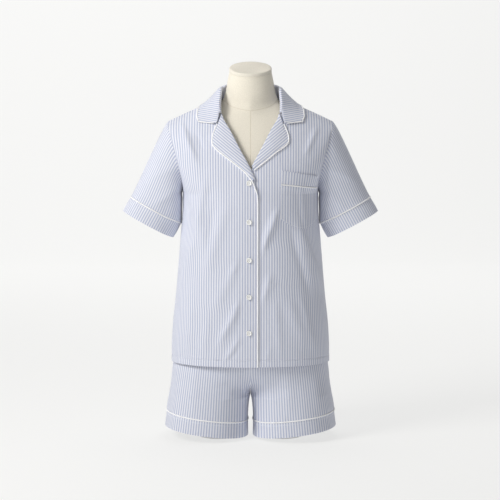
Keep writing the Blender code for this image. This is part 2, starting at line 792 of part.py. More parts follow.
def beyond(grid, distance):
    """Points past the last column of a grid, in line with its last two columns."""
    return grid[:, -1] + unit(grid[:, -1] - grid[:, -2]) * distance


def lapel_edge(side, table, steps):
    """Middle of the cord round a lapel, a little outside its edge."""
    roll_x, roll_z, edge_x, edge_z = spline(table, np.asarray(steps, float))
    run = unit(np.stack([np.gradient(edge_x), np.gradient(edge_z)], axis=-1))
    outward = np.stack([run[:, 1], -run[:, 0]], axis=-1)
    reach = 3 * SEAM + PIPE
    x = edge_x + outward[:, 0] * reach
    z = edge_z + outward[:, 1] * reach
    return on_front(side, x, z, LAPEL_CORD_LIFT)[0]


def front_piping(name):
    """Cord on the right front's edge from the hem up, and on round the lapel."""
    heights = np.linspace(HEM_Z, STRAIGHT_TOP, 21)
    edge, normal = on_front(-1, -LAP, heights)
    straight = edge - normal * STRAIGHT_SINK
    straight[:, 0] += SEAM + PIPE
    x, z, out, aside = np.array(BREAK_ROWS).T
    turn = on_front(-1, x, z, out)[0]
    turn[:, 0] += aside
    round_it = lapel_edge(-1, LAPEL_RIGHT, lapel_steps(LAPEL_RIGHT))
    return tube(name, np.concatenate([straight, turn, round_it]))


def lapel_piping(name):
    return tube(name, lapel_edge(1, LAPEL_LEFT, lapel_steps(LAPEL_LEFT)))


def collar_place(row_face, x, z):
    """Level on the body, 0 to 1 up the front and 1 to 2 down the back."""
    if row_face == 0:
        return 1.0
    level = float(locate(row_face, x, z)[1])
    return level if row_face < 0 else 2 - level


def over_body(x, way):
    """Point and normal of the body where the way runs up the front and down the back."""
    x, way = np.broadcast_arrays(x, way)
    half_front = level_of(np.minimum(way, 1), -1)[0]
    half_back = level_of(np.clip(2 - way, 0, 1), 1)[0]
    half = np.where(way < 1, half_front, half_back)
    angle = np.arcsin(np.clip(x / half, 0, 1) ** (POWER / 2))
    ahead = body_point(1, -1, angle, np.minimum(way, 1.0))
    behind = body_point(1, 1, angle, np.clip(2 - way, 0, 1))
    is_front = (way < 1)[..., None]
    normal = np.where(is_front, ahead[1], behind[1])
    seam = np.exp(-(((way - 1) / 0.05) ** 2))[..., None]
    normal = unit(normal * (1 - seam) + np.array([0.30, 0.0, 0.95]) * seam)
    return np.where(is_front, ahead[0], behind[0]), normal


def collar_half(shares, falls):
    """Middle surface of the collar from centre back to the gorge, on the wearer's left."""
    places = []
    for row in COLLAR_ROWS:
        share, seam_x, seam_z, seam_face, edge_x, edge_z, edge_face, stand = row
        places.append(
            (
                share,
                seam_x,
                collar_place(seam_face, seam_x, seam_z),
                edge_x,
                collar_place(edge_face, edge_x, edge_z),
                stand,
            )
        )
    seam_x, seam_way, edge_x, edge_way, stand = spline(places, shares)
    seam_way = np.where(shares < 0.5, np.maximum(seam_way, 1.0), seam_way)
    notch_way = collar_place(-1, NOTCH_X, NOTCH_Z)
    root, normal = over_body(seam_x, seam_way)
    to_front = ease((shares - 0.6) / 0.4)[:, None]
    out = unit(pack(root[:, 0], root[:, 1], 0.0))
    out = unit(out * (1 - to_front) + np.array(GORGE_OUT) * to_front)
    rise = unit(pack(-STAND_LEAN * out[:, 0], -STAND_LEAN * out[:, 1], 1.0))
    rise = unit(rise * (1 - to_front) + normal * to_front)
    radius = COLLAR_ROLL + (GORGE_ROLL - COLLAR_ROLL) * to_front
    stand = stand[:, None]
    foot = root + rise * COLLAR_FOOT
    columns = [foot, foot + rise * (stand - radius) * 0.5, foot + rise * (stand - radius)]
    bend = foot + rise * (stand - radius) + out * radius
    for turn in ROLL_TURNS[1:]:
        a = turn * math.pi
        columns.append(bend - out * radius * math.cos(a) + rise * radius * math.sin(a))
    blunt = ease((shares - END_SHARE) / (1 - END_SHARE))
    for t in falls:
        x = seam_x + (edge_x - seam_x) * t
        way = seam_way + (edge_way - seam_way) * t
        if t < NOTCH_FALL:
            part = t / NOTCH_FALL
            x_end = seam_x + (NOTCH_X - seam_x) * part
            way_end = seam_way + (notch_way - seam_way) * part
        else:
            part = (t - NOTCH_FALL) / (1 - NOTCH_FALL)
            x_end = NOTCH_X + (edge_x - NOTCH_X) * part
            way_end = notch_way + (edge_way - notch_way) * part
        x = x * (1 - blunt) + x_end * blunt
        way = way * (1 - blunt) + way_end * blunt
        base, up = over_body(x, way)
        lean = unit(rise * (1 - t) ** 1.5 + up * (1 - (1 - t) ** 1.5))
        lift = COLLAR_LIFT + (stand - COLLAR_LIFT) * (1 - t) ** 1.6
        columns.append(base + lean * lift + out * 2 * radius * (1 - t) ** 4)
    return np.stack(columns, axis=1)


FALLS = (0.06, 0.15, 0.3, 0.5, 0.75, 1.0)
COLLAR_SHARES = np.array(
    (0, 0.1, 0.2, 0.29, 0.37, 0.44, 0.49, 0.52, 0.55, 0.6, 0.66, 0.74, 0.82, 0.88, 0.93, 0.965, 1.0)
)


def both_sides(half):
    """A half from the middle outwards, with its mirror image before it."""
    flipped = half[::-1].copy()
    flipped[..., 0] *= -1
    return np.concatenate([flipped[:-1], half])


def collar(name):
    middle = both_sides(collar_half(COLLAR_SHARES, FALLS))
    return thick(name, middle, BAND)


def collar_piping(name):
    half = collar_half(COLLAR_SHARES, FALLS)
    reach = COLLAR_CORD_STEP
    edge = beyond(half, reach)
    ends = half[-1] + unit(half[-1] - half[-2]) * reach
    down = unit(half[-1, -1] - half[-1, -2])
    along = unit(half[-1, -1] - half[-2, -1])
    corner = half[-1, -1] + unit(down + along) * reach * CORNER_REACH
    path = np.concatenate([edge[:-1], corner[None], ends[-2:-4:-1]])
    return tube(name, both_sides(path), up=(0.0, -0.6, 0.8))


POCKET_LEFT = 0.0700
POCKET_RIGHT = 0.1560
# Heights of the pocket's lines across its width: share, height.
POCKET_TOP = ((0.0, 0.6480), (0.5, 0.6470), (1.0, 0.6450))
POCKET_LINE = ((0.0, 0.6180), (0.5, 0.6160), (1.0, 0.6130))
POCKET_FOOT = ((0.00, 0.5370), (0.17, 0.5255), (0.52, 0.5120), (0.84, 0.5200), (1.00, 0.5330))
POCKET_MIDDLE = (0.1000, 0.5800)
POCKET_LIFT = 0.0010
POCKET_CLOTH = 0.0012
POCKET_BAND = 0.0014
POCKET_GAP = 2 * SEAM + 2 * PIPE + 0.0004
POCKET_CORD_LIFT = 0.0009 + PIPE


def pocket_columns():
    """Shares of the left front at the pocket's sides and at the panel's own lines between."""
    angle, level = locate(-1, np.array((POCKET_LEFT, POCKET_RIGHT)), POCKET_MIDDLE[1])
    first = start_angles(level)
    left, right = (angle - first) / (math.pi / 2 - first)
    lines = np.arange(FRONT_COLS) / (FRONT_COLS - 1)
    inside = lines[(lines > left + 0.01) & (lines < right - 0.01)]
    return np.concatenate([[left], inside, [right]])


def pocket_sheet(top, foot, drop, out, width):
    """A patch on the left chest between two tables of heights, with the panel's own rows."""
    share = pocket_columns()
    across = (share - share[0]) / (share[-1] - share[0])
    high = locate(-1, POCKET_MIDDLE[0], spline(top, across)[0] - drop)[1]
    low = locate(-1, POCKET_MIDDLE[0], spline(foot, across)[0])[1]
    inside = LEVELS[(LEVELS > low.max() + 0.03) & (LEVELS < high.min() - 0.03)]
    rows = [low, (low + low.max() + 0.01) / 2] if len(inside) > 1 else [low]
    rows += [np.full(low.shape, level) for level in inside]
    rows.append(high)
    level = np.array(rows)
    share = np.broadcast_to(share, level.shape)
    return on_panel(1, share, level, out + width)[0], on_panel(1, share, level, out)[0]


def pocket_parts():
    outer, inner = pocket_sheet(POCKET_LINE, POCKET_FOOT, POCKET_GAP, POCKET_LIFT, POCKET_CLOTH)
    wall("pocket", outer, inner)
    outer, inner = pocket_sheet(POCKET_TOP, POCKET_LINE, 0.0, POCKET_LIFT, POCKET_BAND)
    wall("pocket_band", outer, inner)
    half_gap = POCKET_GAP / 2
    lines = pocket_sheet(POCKET_LINE, POCKET_FOOT, half_gap, POCKET_CORD_LIFT, 0.0)[0]
    tube("pocket_piping", lines[-1])


def button_mesh():
    """The shared mesh of the buttons, its back on the XY plane and its face toward +Z."""
    shape = bmesh.new()
    corners = [shape.verts.new((radius, 0.0, height)) for radius, height in BUTTON_PROFILE]
    edges = [shape.edges.new(pair) for pair in zip(corners, corners[1:])]
    bmesh.ops.spin(
        shape,
        geom=corners + edges,
        cent=(0.0, 0.0, 0.0),
        axis=(0.0, 0.0, 1.0),
        angle=2 * math.pi,
        steps=BUTTON_TURNS,
        use_merge=True,
    )
    bmesh.ops.remove_doubles(shape, verts=shape.verts, dist=MERGE)
    bmesh.ops.recalc_face_normals(shape, faces=shape.faces)
    mesh = bpy.data.meshes.new("button")
    shape.to_mesh(mesh)
    shape.free()
    finish_mesh(mesh, "button")
    return mesh


def buttons():
    """Five buttons on the right front, each turned to face the way the cloth does."""
    mesh = button_mesh()
    for k, z in enumerate(BUTTON_Z):
        centre, normal = on_front(-1, np.array(-BUTTON_X), np.array(z))
        item = place(f"button_{k + 1}", mesh, HOLDER)
        item.location = centre + normal * BUTTON_LIFT
        item.rotation_euler = Vector(normal).to_track_quat("Z", "Y").to_euler()


def arc(share, half, deep, power):
    """Quarter of a section from the middle, share 0, to the side, share 1."""
    turn = share * math.pi / 2
    return half * np.sin(turn) ** (2 / power), deep * np.cos(turn) ** (2 / power)


def leg_arc(share, inner, outer, deep):
    """Half round a leg from the inseam, share 0, to the side seam, share 1."""
    turn = share * math.pi
    middle = (inner + outer) / 2
    reach = (outer - inner) / 2
    bend = np.abs(np.cos(turn)) ** LEG_POWER * np.sign(np.cos(turn))
    return middle - reach * bend, deep * np.sin(turn) ** LEG_POWER


def slope_of(x, z, amount):
    return z + HEM_SLOPE * (x - LEG_MIDDLE) * amount


SHORTS_COLS = 8
RISE_STEPS = np.sin(np.linspace(0, math.pi / 2, 8))
UPPER_Z = (0.4040, 0.3700, 0.3200, 0.2600, 0.2000)
LEG_Z = (0.0960, 0.0800, 0.0560)


def shorts_row(face, z, joined):
    """One row of a shorts panel on the wearer's left: joined is 0 at the waist, 1 at the legs."""
    share = np.linspace(0, 1, SHORTS_COLS)
    half, ahead, behind = spline(SHORTS_ROWS, z)
    deep = ahead if face < 0 else behind
    body_x, body_y = arc(share, half, deep, POWER)
    inner, outer, leg_front, leg_back = spline(LEG_ROWS, min(z, CROTCH_Z))
    leg_deep = leg_front if face < 0 else leg_back
    if z >= CROTCH_Z:
        outer = half
    leg_x, leg_y = leg_arc(share, inner, outer, leg_deep)
    x = body_x + (leg_x - body_x) * joined
    y = face * (body_y + (leg_y - body_y) * joined)
    amount = ease((HEM_SLOPE_Z - z) / HEM_SLOPE_TALL)
    return pack(x, y, slope_of(x, z, amount))


def shorts_grid(face):
    rows = [shorts_row(face, z, 0.0) for z in UPPER_Z]
    joins = [0.0] * len(UPPER_Z)
    for t in RISE_STEPS[1:]:
        joined = t**RISE_POWER
        rows.append(shorts_row(face, RISE_Z + (CROTCH_Z - RISE_Z) * t, joined))
        joins.append(joined)
    for z in LEG_Z:
        rows.append(shorts_row(face, z, 1.0))
        joins.append(2.0)
    return np.array(rows), np.array(joins)


def shorts_panel(name, side, face):
    grid, joins = shorts_grid(face)
    grid[:, 0, 0] = np.maximum(grid[:, 0, 0], HALF_SEAM)
    grid[:, 0, 1] = face * np.maximum(face * grid[:, 0, 1], HALF_SEAM)
    grid[:, -1, 1] = face * HALF_SEAM
    inward = grid_normals(grid)
    middle = np.array([0.09, 0.0, 0.0])
    turned = np.sum(inward[2:5] * (middle - grid[2:5]) * np.array([1, 1, 0]))
    inward = inward * (1 if turned > 0 else -1)
    inward[:, -1] = (-1.0, 0.0, 0.0)
    for k, joined in enumerate(joins):
        if joined > 1:
            inward[k, 0] = (1.0, 0.0, 0.0)
        else:
            inward[k, 0] = (0.0, -face * math.sqrt(1 - joined**2), joined)
    inward[0, :, 2] = 0.0
    inner = grid + CLOTH * unit(inward)
    grid[..., 0] *= side
    inner[..., 0] *= side
    return wall(name, grid, inner)


def leg_ring(side, z, inset, amount=1.0, cols=10):
    share = np.linspace(0, 1, cols)
    inner, outer, ahead, behind = spline(LEG_ROWS, z)
    x_front, y_front = leg_arc(share, inner + inset, outer - inset, ahead - inset)
    x_back, y_back = leg_arc(share, inner + inset, outer - inset, behind - inset)
    x = np.concatenate([x_front, x_back[-2:0:-1]])
    y = np.concatenate([-y_front, y_back[-2:0:-1]])
    return pack(side * x, y, slope_of(x, z, amount))


def leg_trim(label, side):
    top = LEG_Z[-1]
    path = leg_ring(side, top - SEAM - PIPE, CORD_INSET)
    tube(f"leg_piping_{label}", path, ring=True, up=(-HEM_SLOPE * side, 0.0, 1.0))
    start = top - 2 * SEAM - 2 * PIPE
    heights = np.linspace(start, LEG_HEM_Z, 3)
    outer = np.array([leg_ring(side, z, 0.0) for z in heights])
    inner = np.array([leg_ring(side, z, BAND) for z in heights])
    wall(f"leg_band_{label}", outer, inner, ring=True)


def form_ring(z, grow=0.0):
    half, ahead, behind, power = spline(FORM_ROWS, z)
    a = np.arange(FORM_TURNS) * 2 * math.pi / FORM_TURNS
    s = np.sin(a)
    c = np.cos(a)
    x = (half + grow) * np.sign(s) * np.abs(s) ** (2 / power)
    deep = np.where(c > 0, ahead, behind) + grow
    y = -np.sign(c) * np.abs(c) ** (2 / power) * deep
    tilt = CAP_TILT * y * ease((z - TILT_Z) / TILT_TALL)
    return pack(x, y, z + tilt)


def stack(name, rings):
    """A closed body through rings, with flat ends."""
    rings = np.asarray(rings)
    count, turns = rings.shape[:2]
    points = rings.reshape(-1, 3)
    faces = [tuple(reversed(range(turns)))]
    for r in range(count - 1):
        for k in range(turns):
            m = (k + 1) % turns
            faces.append(
                (r * turns + k, r * turns + m, (r + 1) * turns + m, (r + 1) * turns + k)
            )
    faces.append(tuple((count - 1) * turns + k for k in range(turns)))
    return solid(name, points, faces)


def form_parts():
    heights = [row[0] for row in FORM_ROWS]
    stack("form_trunk", [form_ring(z) for z in heights])
    neck = form_ring(heights[-1])
    low = neck + np.array([0.0, 0.0, SEAM])
    high = low + np.array([0.0, 0.0, CAP_TALL])
    centre = high.mean(axis=0)
    top = centre + (high - centre) * np.array([CAP_SHRINK, CAP_SHRINK, 1.0])
    stack("form_neck_cap", [low, high, top + np.array([0.0, 0.0, CAP_DOME])])


def block(name, side):
    """An oval block that stands on the ground inside one leg and carries the form."""
    shape = bmesh.new()
    bmesh.ops.create_cone(
        shape,
        cap_ends=True,
        segments=BLOCK_TURNS,
        radius1=1.0,
        radius2=1.0,
        depth=1.0,
    )
    bmesh.ops.scale(shape, vec=(*BLOCK_HALF, BLOCK_TOP), verts=shape.verts)
    mesh = bpy.data.meshes.new(name)
    shape.to_mesh(mesh)
    shape.free()
    finish_mesh(mesh, name)
    item = place(name, mesh, HOLDER)
    item.location = (side * BLOCK_X, BLOCK_Y, BLOCK_TOP / 2)


def waistband():
    outer = np.array([form_ring(z, grow=WAIST_GAP + BAND) for z in WAIST_Z])
    inner = np.array([form_ring(z, grow=WAIST_GAP) for z in WAIST_Z])
    wall("waistband", outer, inner, ring=True)


def build():
    form_parts()
    waistband()
    back_panel("back")
    front("front_right", -1)
    front("front_left", 1)
    for label, side in (("right", -1), ("left", 1)):
        sleeve(f"sleeve_{label}", side)
        cuff(f"cuff_{label}", side)
        cuff_piping(f"cuff_piping_{label}", side)
        shorts_panel(f"shorts_front_{label}", side, -1)
        shorts_panel(f"shorts_back_{label}", side, 1)
        leg_trim(label, side)
        block(f"form_block_{label}", side)
    lapel("lapel_right", -1, LAPEL_RIGHT)
    lapel("lapel_left", 1, LAPEL_LEFT)
    front_piping("front_piping_right")
    lapel_piping("lapel_piping_left")
    collar("collar")
    collar_piping("collar_piping")
    pocket_parts()
    buttons()


for old in list(bpy.data.objects):
    bpy.data.objects.remove(old, do_unlink=True)
HOLDER = bpy.data.objects.new("pyjama_set", None)
HOLDER.location.y = MIDDLE_Y
bpy.context.scene.collection.objects.link(HOLDER)
build()
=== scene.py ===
"""Looks of the short pyjama set on its dress form: metres, +Z up, the front faces -Y.

The cloth is made of thin shells with the solids' own sections, at finer steps and with the
smaller creases. The wearer's right is -X.
"""

import math

import bmesh
import bpy
import numpy as np
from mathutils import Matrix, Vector


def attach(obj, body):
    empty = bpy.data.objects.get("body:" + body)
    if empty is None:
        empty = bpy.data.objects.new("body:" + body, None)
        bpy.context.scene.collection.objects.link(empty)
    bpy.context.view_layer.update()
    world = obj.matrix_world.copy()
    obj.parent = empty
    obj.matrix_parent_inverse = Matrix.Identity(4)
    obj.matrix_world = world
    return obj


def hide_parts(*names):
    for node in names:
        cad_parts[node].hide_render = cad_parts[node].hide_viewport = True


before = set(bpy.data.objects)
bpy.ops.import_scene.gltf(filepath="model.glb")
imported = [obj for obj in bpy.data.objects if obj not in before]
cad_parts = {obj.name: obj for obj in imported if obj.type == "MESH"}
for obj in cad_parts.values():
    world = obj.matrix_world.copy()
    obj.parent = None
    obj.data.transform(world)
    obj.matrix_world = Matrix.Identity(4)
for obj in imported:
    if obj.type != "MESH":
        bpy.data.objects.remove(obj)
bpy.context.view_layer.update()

# Gap at seams, one layer of cloth, doubled cloth, and the radius of the white cord.
SEAM = 0.0003
HALF_SEAM = SEAM / 2
CLOTH = 0.0016
BAND = 0.0020
PIPE = 0.0014
# Radius of the cord as shown, and how far it stands out where it runs round a cuff or a leg.
CORD_RADIUS = PIPE + 0.00015
CORD_STAND = 0.0003
# Superellipse power of the top's and the shorts' sections.
POWER = 2.3

# Heights: hem, underarm, shoulder seam at the neck and at the armhole, and chest.
HEM_Z = 0.1865
ARMPIT_Z = 0.5950
SHOULDER_Z = 0.8256
SHOULDER_END_Z = 0.7650
CHEST_Z = 0.6080
# Each front runs this far past the middle. The right one is lifted over the left one, and the
# lift fades out sideways.
LAP = 0.0155
LAP_LIFT = 0.0013
LAP_FADE = 0.0450
# The neck opening: half its width, and its depth behind the shoulder seams.
NECK_X = 0.0700
NAPE_Y = 0.0660
# Powers of the curves from the chest and from the back up to the shoulder seam.
CHEST_ARCH = 1.7
BACK_ARCH = 2.4
# The shoulder falls from this x outwards.
SLOPE_X = 0.0450
SLOPE_POWER = 1.2
# Sets the middle of the box round the whole part over the origin.
MIDDLE_Y = 0.0066

# Sections of the top's body: height, half width, front depth, back depth.
BODY_ROWS = (
    (0.1865, 0.1912, 0.1290, 0.1255),
    (0.2300, 0.1908, 0.1285, 0.1235),
    (0.2800, 0.1878, 0.1275, 0.1175),
    (0.3400, 0.1812, 0.1262, 0.1075),
    (0.4200, 0.1742, 0.1258, 0.0985),
    (0.4900, 0.1685, 0.1290, 0.0985),
    (0.5450, 0.1640, 0.1322, 0.1010),
    (0.5950, 0.1630, 0.1335, 0.1040),
)

# The armhole from underarm to shoulder: fraction, half width, front depth, back depth, height.
ARMHOLE_ROWS = (
    (0.00, 0.1630, 0.0000, 0.0000, 0.5950),
    (0.12, 0.1618, 0.0290, 0.0280, 0.6090),
    (0.35, 0.1680, 0.0590, 0.0560, 0.6450),
    (0.60, 0.1785, 0.0680, 0.0620, 0.6900),
    (0.80, 0.1895, 0.0570, 0.0520, 0.7290),
    (0.93, 0.1958, 0.0320, 0.0310, 0.7555),
    (1.00, 0.1955, 0.0000, 0.0000, 0.7650),
)
# A point in the middle of the armhole, and the depth by which its rim turns round.
ARMHOLE_CENTRE = (0.1790, 0.0, 0.6800)
ARMHOLE_DEEP = 0.0700

# Inner edge of a front above the underarm: height, distance past the centre line.
ROLL_ROWS = (
    (0.5950, -0.0150),
    (0.6120, -0.0120),
    (0.6350, -0.0060),
    (0.6532, 0.0023),
    (0.7017, 0.0287),
    (0.7461, 0.0515),
    (0.7817, 0.0686),
    (0.7960, 0.0700),
    (0.8150, 0.0706),
    (0.8300, 0.0706),
)

# Large folds on the fronts: side, start x, start z, end x, end z, height, width.
FRONT_FOLDS = (
    (-1, 0.160, 0.735, 0.128, 0.665, 0.0040, 0.012),
    (-1, 0.130, 0.620, 0.105, 0.440, 0.0045, 0.016),
    (-1, 0.060, 0.560, 0.100, 0.420, 0.0025, 0.014),
    (-1, 0.015, 0.340, 0.075, 0.245, 0.0040, 0.012),
    (-1, 0.030, 0.430, 0.085, 0.330, 0.0025, 0.013),
    (1, 0.110, 0.500, 0.150, 0.380, 0.0050, 0.015),
    (1, 0.060, 0.540, 0.020, 0.465, 0.0035, 0.012),
    (1, 0.050, 0.390, 0.020, 0.335, 0.0030, 0.012),
    (1, 0.090, 0.340, 0.130, 0.240, 0.0030, 0.016),
)

# Large folds on the back: centre x, top z, foot x, foot z, height, width.
BACK_FOLDS = (
    (-0.085, 0.620, -0.100, 0.330, 0.0045, 0.018),
    (0.070, 0.640, 0.105, 0.300, 0.0045, 0.017),
    (-0.020, 0.470, -0.045, 0.215, 0.0035, 0.016),
    (0.030, 0.420, 0.040, 0.210, 0.0030, 0.015),
)

# Each lapel from its foot to the notch: fraction, roll x, roll z, edge x, edge z.
LAPEL_RIGHT = (
    (0.00, -0.0076, 0.6285, -0.0056, 0.6278),
    (0.08, -0.0050, 0.6370, 0.0010, 0.6355),
    (0.17, 0.0000, 0.6485, 0.0095, 0.6450),
    (0.30, 0.0050, 0.6580, 0.0200, 0.6550),
    (0.50, 0.0185, 0.6830, 0.0500, 0.6780),
    (0.63, 0.0330, 0.7100, 0.0770, 0.6988),
    (0.71, 0.0395, 0.7225, 0.0862, 0.7083),
    (0.78, 0.0440, 0.7315, 0.0882, 0.7175),
    (0.88, 0.0530, 0.7490, 0.0850, 0.7349),
    (1.00, 0.0680, 0.7792, 0.0763, 0.7560),
)

LAPEL_LEFT = (
    (0.00, 0.0052, 0.6592, 0.0066, 0.6526),
    (0.08, 0.0085, 0.6650, 0.0172, 0.6608),
    (0.16, 0.0128, 0.6725, 0.0288, 0.6695),
    (0.34, 0.0240, 0.6930, 0.0585, 0.6935),
    (0.52, 0.0340, 0.7120, 0.0805, 0.7085),
    (0.62, 0.0395, 0.7225, 0.0860, 0.7150),
    (0.72, 0.0440, 0.7315, 0.0870, 0.7240),
    (0.84, 0.0530, 0.7490, 0.0848, 0.7355),
    (1.00, 0.0680, 0.7792, 0.0760, 0.7560),
)

# The cord runs straight from the hem to this height, a little under the cloth's face.
STRAIGHT_TOP = 0.5800
STRAIGHT_SINK = 0.0003

# The cord between the straight edge and the lapel: x, z, distance out, extra distance aside.
BREAK_ROWS = (
    (-0.0155, 0.5880, 0.0008, 0.0017),
    (-0.0155, 0.5960, 0.0023, 0.0006),
    (-0.0130, 0.6025, 0.0027, 0.0),
    (-0.0106, 0.6090, 0.0027, 0.0),
    (-0.0084, 0.6155, 0.0027, 0.0),
    (-0.0064, 0.6215, 0.0027, 0.0),
)
# Steps along the straight edge and the break, and how often the path is smoothed.
STRAIGHT_STEPS = 160
BREAK_STEPS = 21
CORD_PASSES = 14

# Collar from centre back to the gorge. Seam x and height, edge x and height. The face is
# -1 on the front, 0 on the shoulder seam and 1 on the back.
COLLAR_ROWS = (
    # share, seam_x, seam_z, seam_face, edge_x, edge_z, edge_face, stand
    (0.00, 0.0000, 0.0000, 0, 0.0000, 0.7800, 1, 0.0290),
    (0.14, 0.0260, 0.0000, 0, 0.0420, 0.7790, 1, 0.0290),
    (0.28, 0.0480, 0.0000, 0, 0.0800, 0.7800, 1, 0.0285),
    (0.40, 0.0640, 0.0000, 0, 0.1080, 0.7870, 1, 0.0280),
    (0.52, 0.0706, 0.0000, 0, 0.1190, 0.0000, 0, 0.0270),
    (0.66, 0.0706, 0.8080, -1, 0.1225, 0.7905, -1, 0.0240),
    (0.82, 0.0702, 0.7950, -1, 0.1236, 0.7840, -1, 0.0170),
    (0.93, 0.0696, 0.7858, -1, 0.1244, 0.7738, -1, 0.0090),
    (1.00, 0.0690, 0.7818, -1, 0.1208, 0.7632, -1, 0.0062),
)
# The notch, how far the collar's foot is over its seam, and the fall's height over the body.
NOTCH_X = 0.0779
NOTCH_Z = 0.7582
COLLAR_FOOT = 0.0007
COLLAR_LIFT = 0.0030
# The collar's cord: its distance from the edge, its reach at the corner as a share of that, and
# the share of the fall where it ends at the notch.
COLLAR_CORD_STEP = SEAM + PIPE + 0.0003
CORNER_REACH = 1.3
CORD_END_FALL = 0.37
# Width of the shoulder seam's bend in levels, and the way that the body faces on it.
RIDGE_WIDE = 0.05
RIDGE_OUT = np.array((0.30, 0.0, 0.95))
# The collar's seam stays behind the shoulder seams up to this share of its length. Its stand
# turns into the gorge from the next share on, over the one after.
BACK_SHARE = 0.5
FRONT_SHARE = 0.6
FRONT_LONG = 0.4
# Powers by which the fall turns to the body, sinks to it and draws in under the fold.
FALL_TURN_POWER = 1.5
FALL_SINK_POWER = 1.6
FALL_DRAW_POWER = 4
# The stand leans in, and at the gorge the fold turns out along this direction.
STAND_LEAN = 0.10
GORGE_OUT = (0.93, -0.20, -0.30)
# The blunt end begins at this share of the collar; the notch is this far down the fall.
END_SHARE = 0.90
NOTCH_FALL = 0.3
# Radius of the fold from stand to fall at the back and at the gorge, and of a lapel's roll.
COLLAR_ROLL = 0.0030
GORGE_ROLL = 0.0020
LAPEL_ROLL = 0.0017
# A lapel's height over the front at its roll, how much lower its edge is, how much its middle
# swells, how far its last row is moved out, and the share where it has left its roll.
LAPEL_LIFT = 0.0026
LAPEL_FALL = 0.0004
LAPEL_BELLY = 0.0012
LAPEL_REACH = 0.0006
LAPEL_NEAR = 0.2
# Height of the middle of a lapel's cord over the front.
LAPEL_CORD_LIFT = 0.0023

# Sleeve opening at the piping: centre, half length across, half depth, tilt from level.
CUFF_CENTRE = (0.2287, -0.004, 0.5530)
CUFF_LONG = 0.0665
CUFF_DEEP = 0.0520
CUFF_TILT = math.radians(28.5)
# A cuff's height, its flare at the hem, its swell in the middle, and how far down the sleeve's
# axis its cord and its cloth begin.
CUFF_TALL = 0.0365
CUFF_FLARE = 0.0010
CUFF_SWELL = 0.0004
# The opening's section is a little squarer than an ellipse.
CUFF_POWER = 0.9
CUFF_CORD_STEP = SEAM + PIPE + 0.0003
CUFF_START = 2 * SEAM + 2 * PIPE + 0.0006

# At the underarm a sleeve starts further from its seam, by this many gaps, and this power of the
# share fades it out. Its end is pulled along its axis: least, more, and share where that is full.
SLEEVE_GAPS = 1.5
SLEEVE_GAP_POWER = 6
SLEEVE_BEND = (0.20, 0.65, 0.6)
# How a sleeve leaves the armhole: share from underarm to shoulder, aside, up, pull.
SLEEVE_LEAN = (
    (0.0, 0.80, -1.00, 0.040),
    (0.5, 0.90, -0.75, 0.060),
    (1.0, 0.92, -0.40, 0.045),
)

# Shorts above the crotch: height, half width, front depth, back depth.
SHORTS_ROWS = (
    (0.4040, 0.1290, 0.0890, 0.0790),
    (0.3700, 0.1430, 0.0980, 0.0900),
    (0.3200, 0.1610, 0.1070, 0.1020),
    (0.2600, 0.1745, 0.1130, 0.1110),
    (0.2000, 0.1850, 0.1165, 0.1160),
    (0.1700, 0.1895, 0.1170, 0.1170),
    (0.1400, 0.1925, 0.1165, 0.1170),
    (0.1070, 0.1970, 0.1150, 0.1160),
)

# Legs under the crotch, before the slope of the hem: height, inner x, outer x, front, back.
LEG_ROWS = (
    (0.1070, 0.0003, 0.1970, 0.1080, 0.1110),
    (0.0960, 0.0030, 0.1985, 0.1080, 0.1110),
    (0.0800, 0.0050, 0.2010, 0.1080, 0.1110),
    (0.0560, 0.0060, 0.2040, 0.1080, 0.1115),
    (0.0550, 0.0060, 0.2040, 0.1080, 0.1115),
    (0.0164, 0.0055, 0.2080, 0.1090, 0.1130),
)
# From the rise up the section is the hips'. It turns into the legs' at the crotch, faster and
# faster by this power.
CROTCH_Z = 0.1070
RISE_Z = 0.2000
RISE_POWER = 2.2
# The leg hems rise outwards, from this height of the leg down.
HEM_SLOPE = 0.1230
HEM_SLOPE_Z = 0.1370
HEM_SLOPE_TALL = 0.0750
LEG_MIDDLE = 0.1050
LEG_HEM_Z = 0.0164
# A leg's section is a little squarer than an ellipse.
LEG_POWER = 0.92

# Dress form: height, half width, front depth, back depth, section power.
FORM_ROWS = (
    (0.2150, 0.1620, 0.0980, 0.1030, 2.30),
    (0.2600, 0.1600, 0.0960, 0.1000, 2.30),
    (0.3400, 0.1400, 0.0890, 0.0860, 2.25),
    (0.4040, 0.1262, 0.0860, 0.0760, 2.20),
    (0.4200, 0.1250, 0.0855, 0.0750, 2.20),
    (0.4340, 0.1255, 0.0860, 0.0755, 2.20),
    (0.5000, 0.1350, 0.0985, 0.0820, 2.20),
    (0.5700, 0.1450, 0.1170, 0.0890, 2.20),
    (0.6200, 0.1495, 0.1215, 0.0930, 2.20),
    (0.6700, 0.1590, 0.1140, 0.0930, 2.20),
    (0.7100, 0.1690, 0.0990, 0.0880, 2.15),
    (0.7400, 0.1740, 0.0830, 0.0800, 2.00),
    (0.7600, 0.1700, 0.0700, 0.0720, 1.80),
    (0.7740, 0.1560, 0.0610, 0.0660, 1.60),
    (0.7865, 0.1300, 0.0560, 0.0600, 1.40),
    (0.7980, 0.0980, 0.0540, 0.0570, 1.35),
    (0.8080, 0.0745, 0.0530, 0.0540, 1.50),
    (0.8160, 0.0665, 0.0530, 0.0530, 1.70),
    (0.8240, 0.0625, 0.0530, 0.0525, 1.85),
    (0.8400, 0.0585, 0.0530, 0.0510, 2.00),
    (0.8600, 0.0550, 0.0525, 0.0500, 2.00),
    (0.8815, 0.0508, 0.0510, 0.0490, 2.00),
)
# The slope of the neck's top. The neck begins to lean at this height and has its full lean this
# much higher.
CAP_TILT = math.tan(math.radians(14.5))
TILT_Z = 0.8450
TILT_TALL = 0.0365
# The waistband's rows, and its distance from the form.
WAIST_Z = (0.4048, 0.4190, 0.4340)
WAIST_GAP = 0.0005

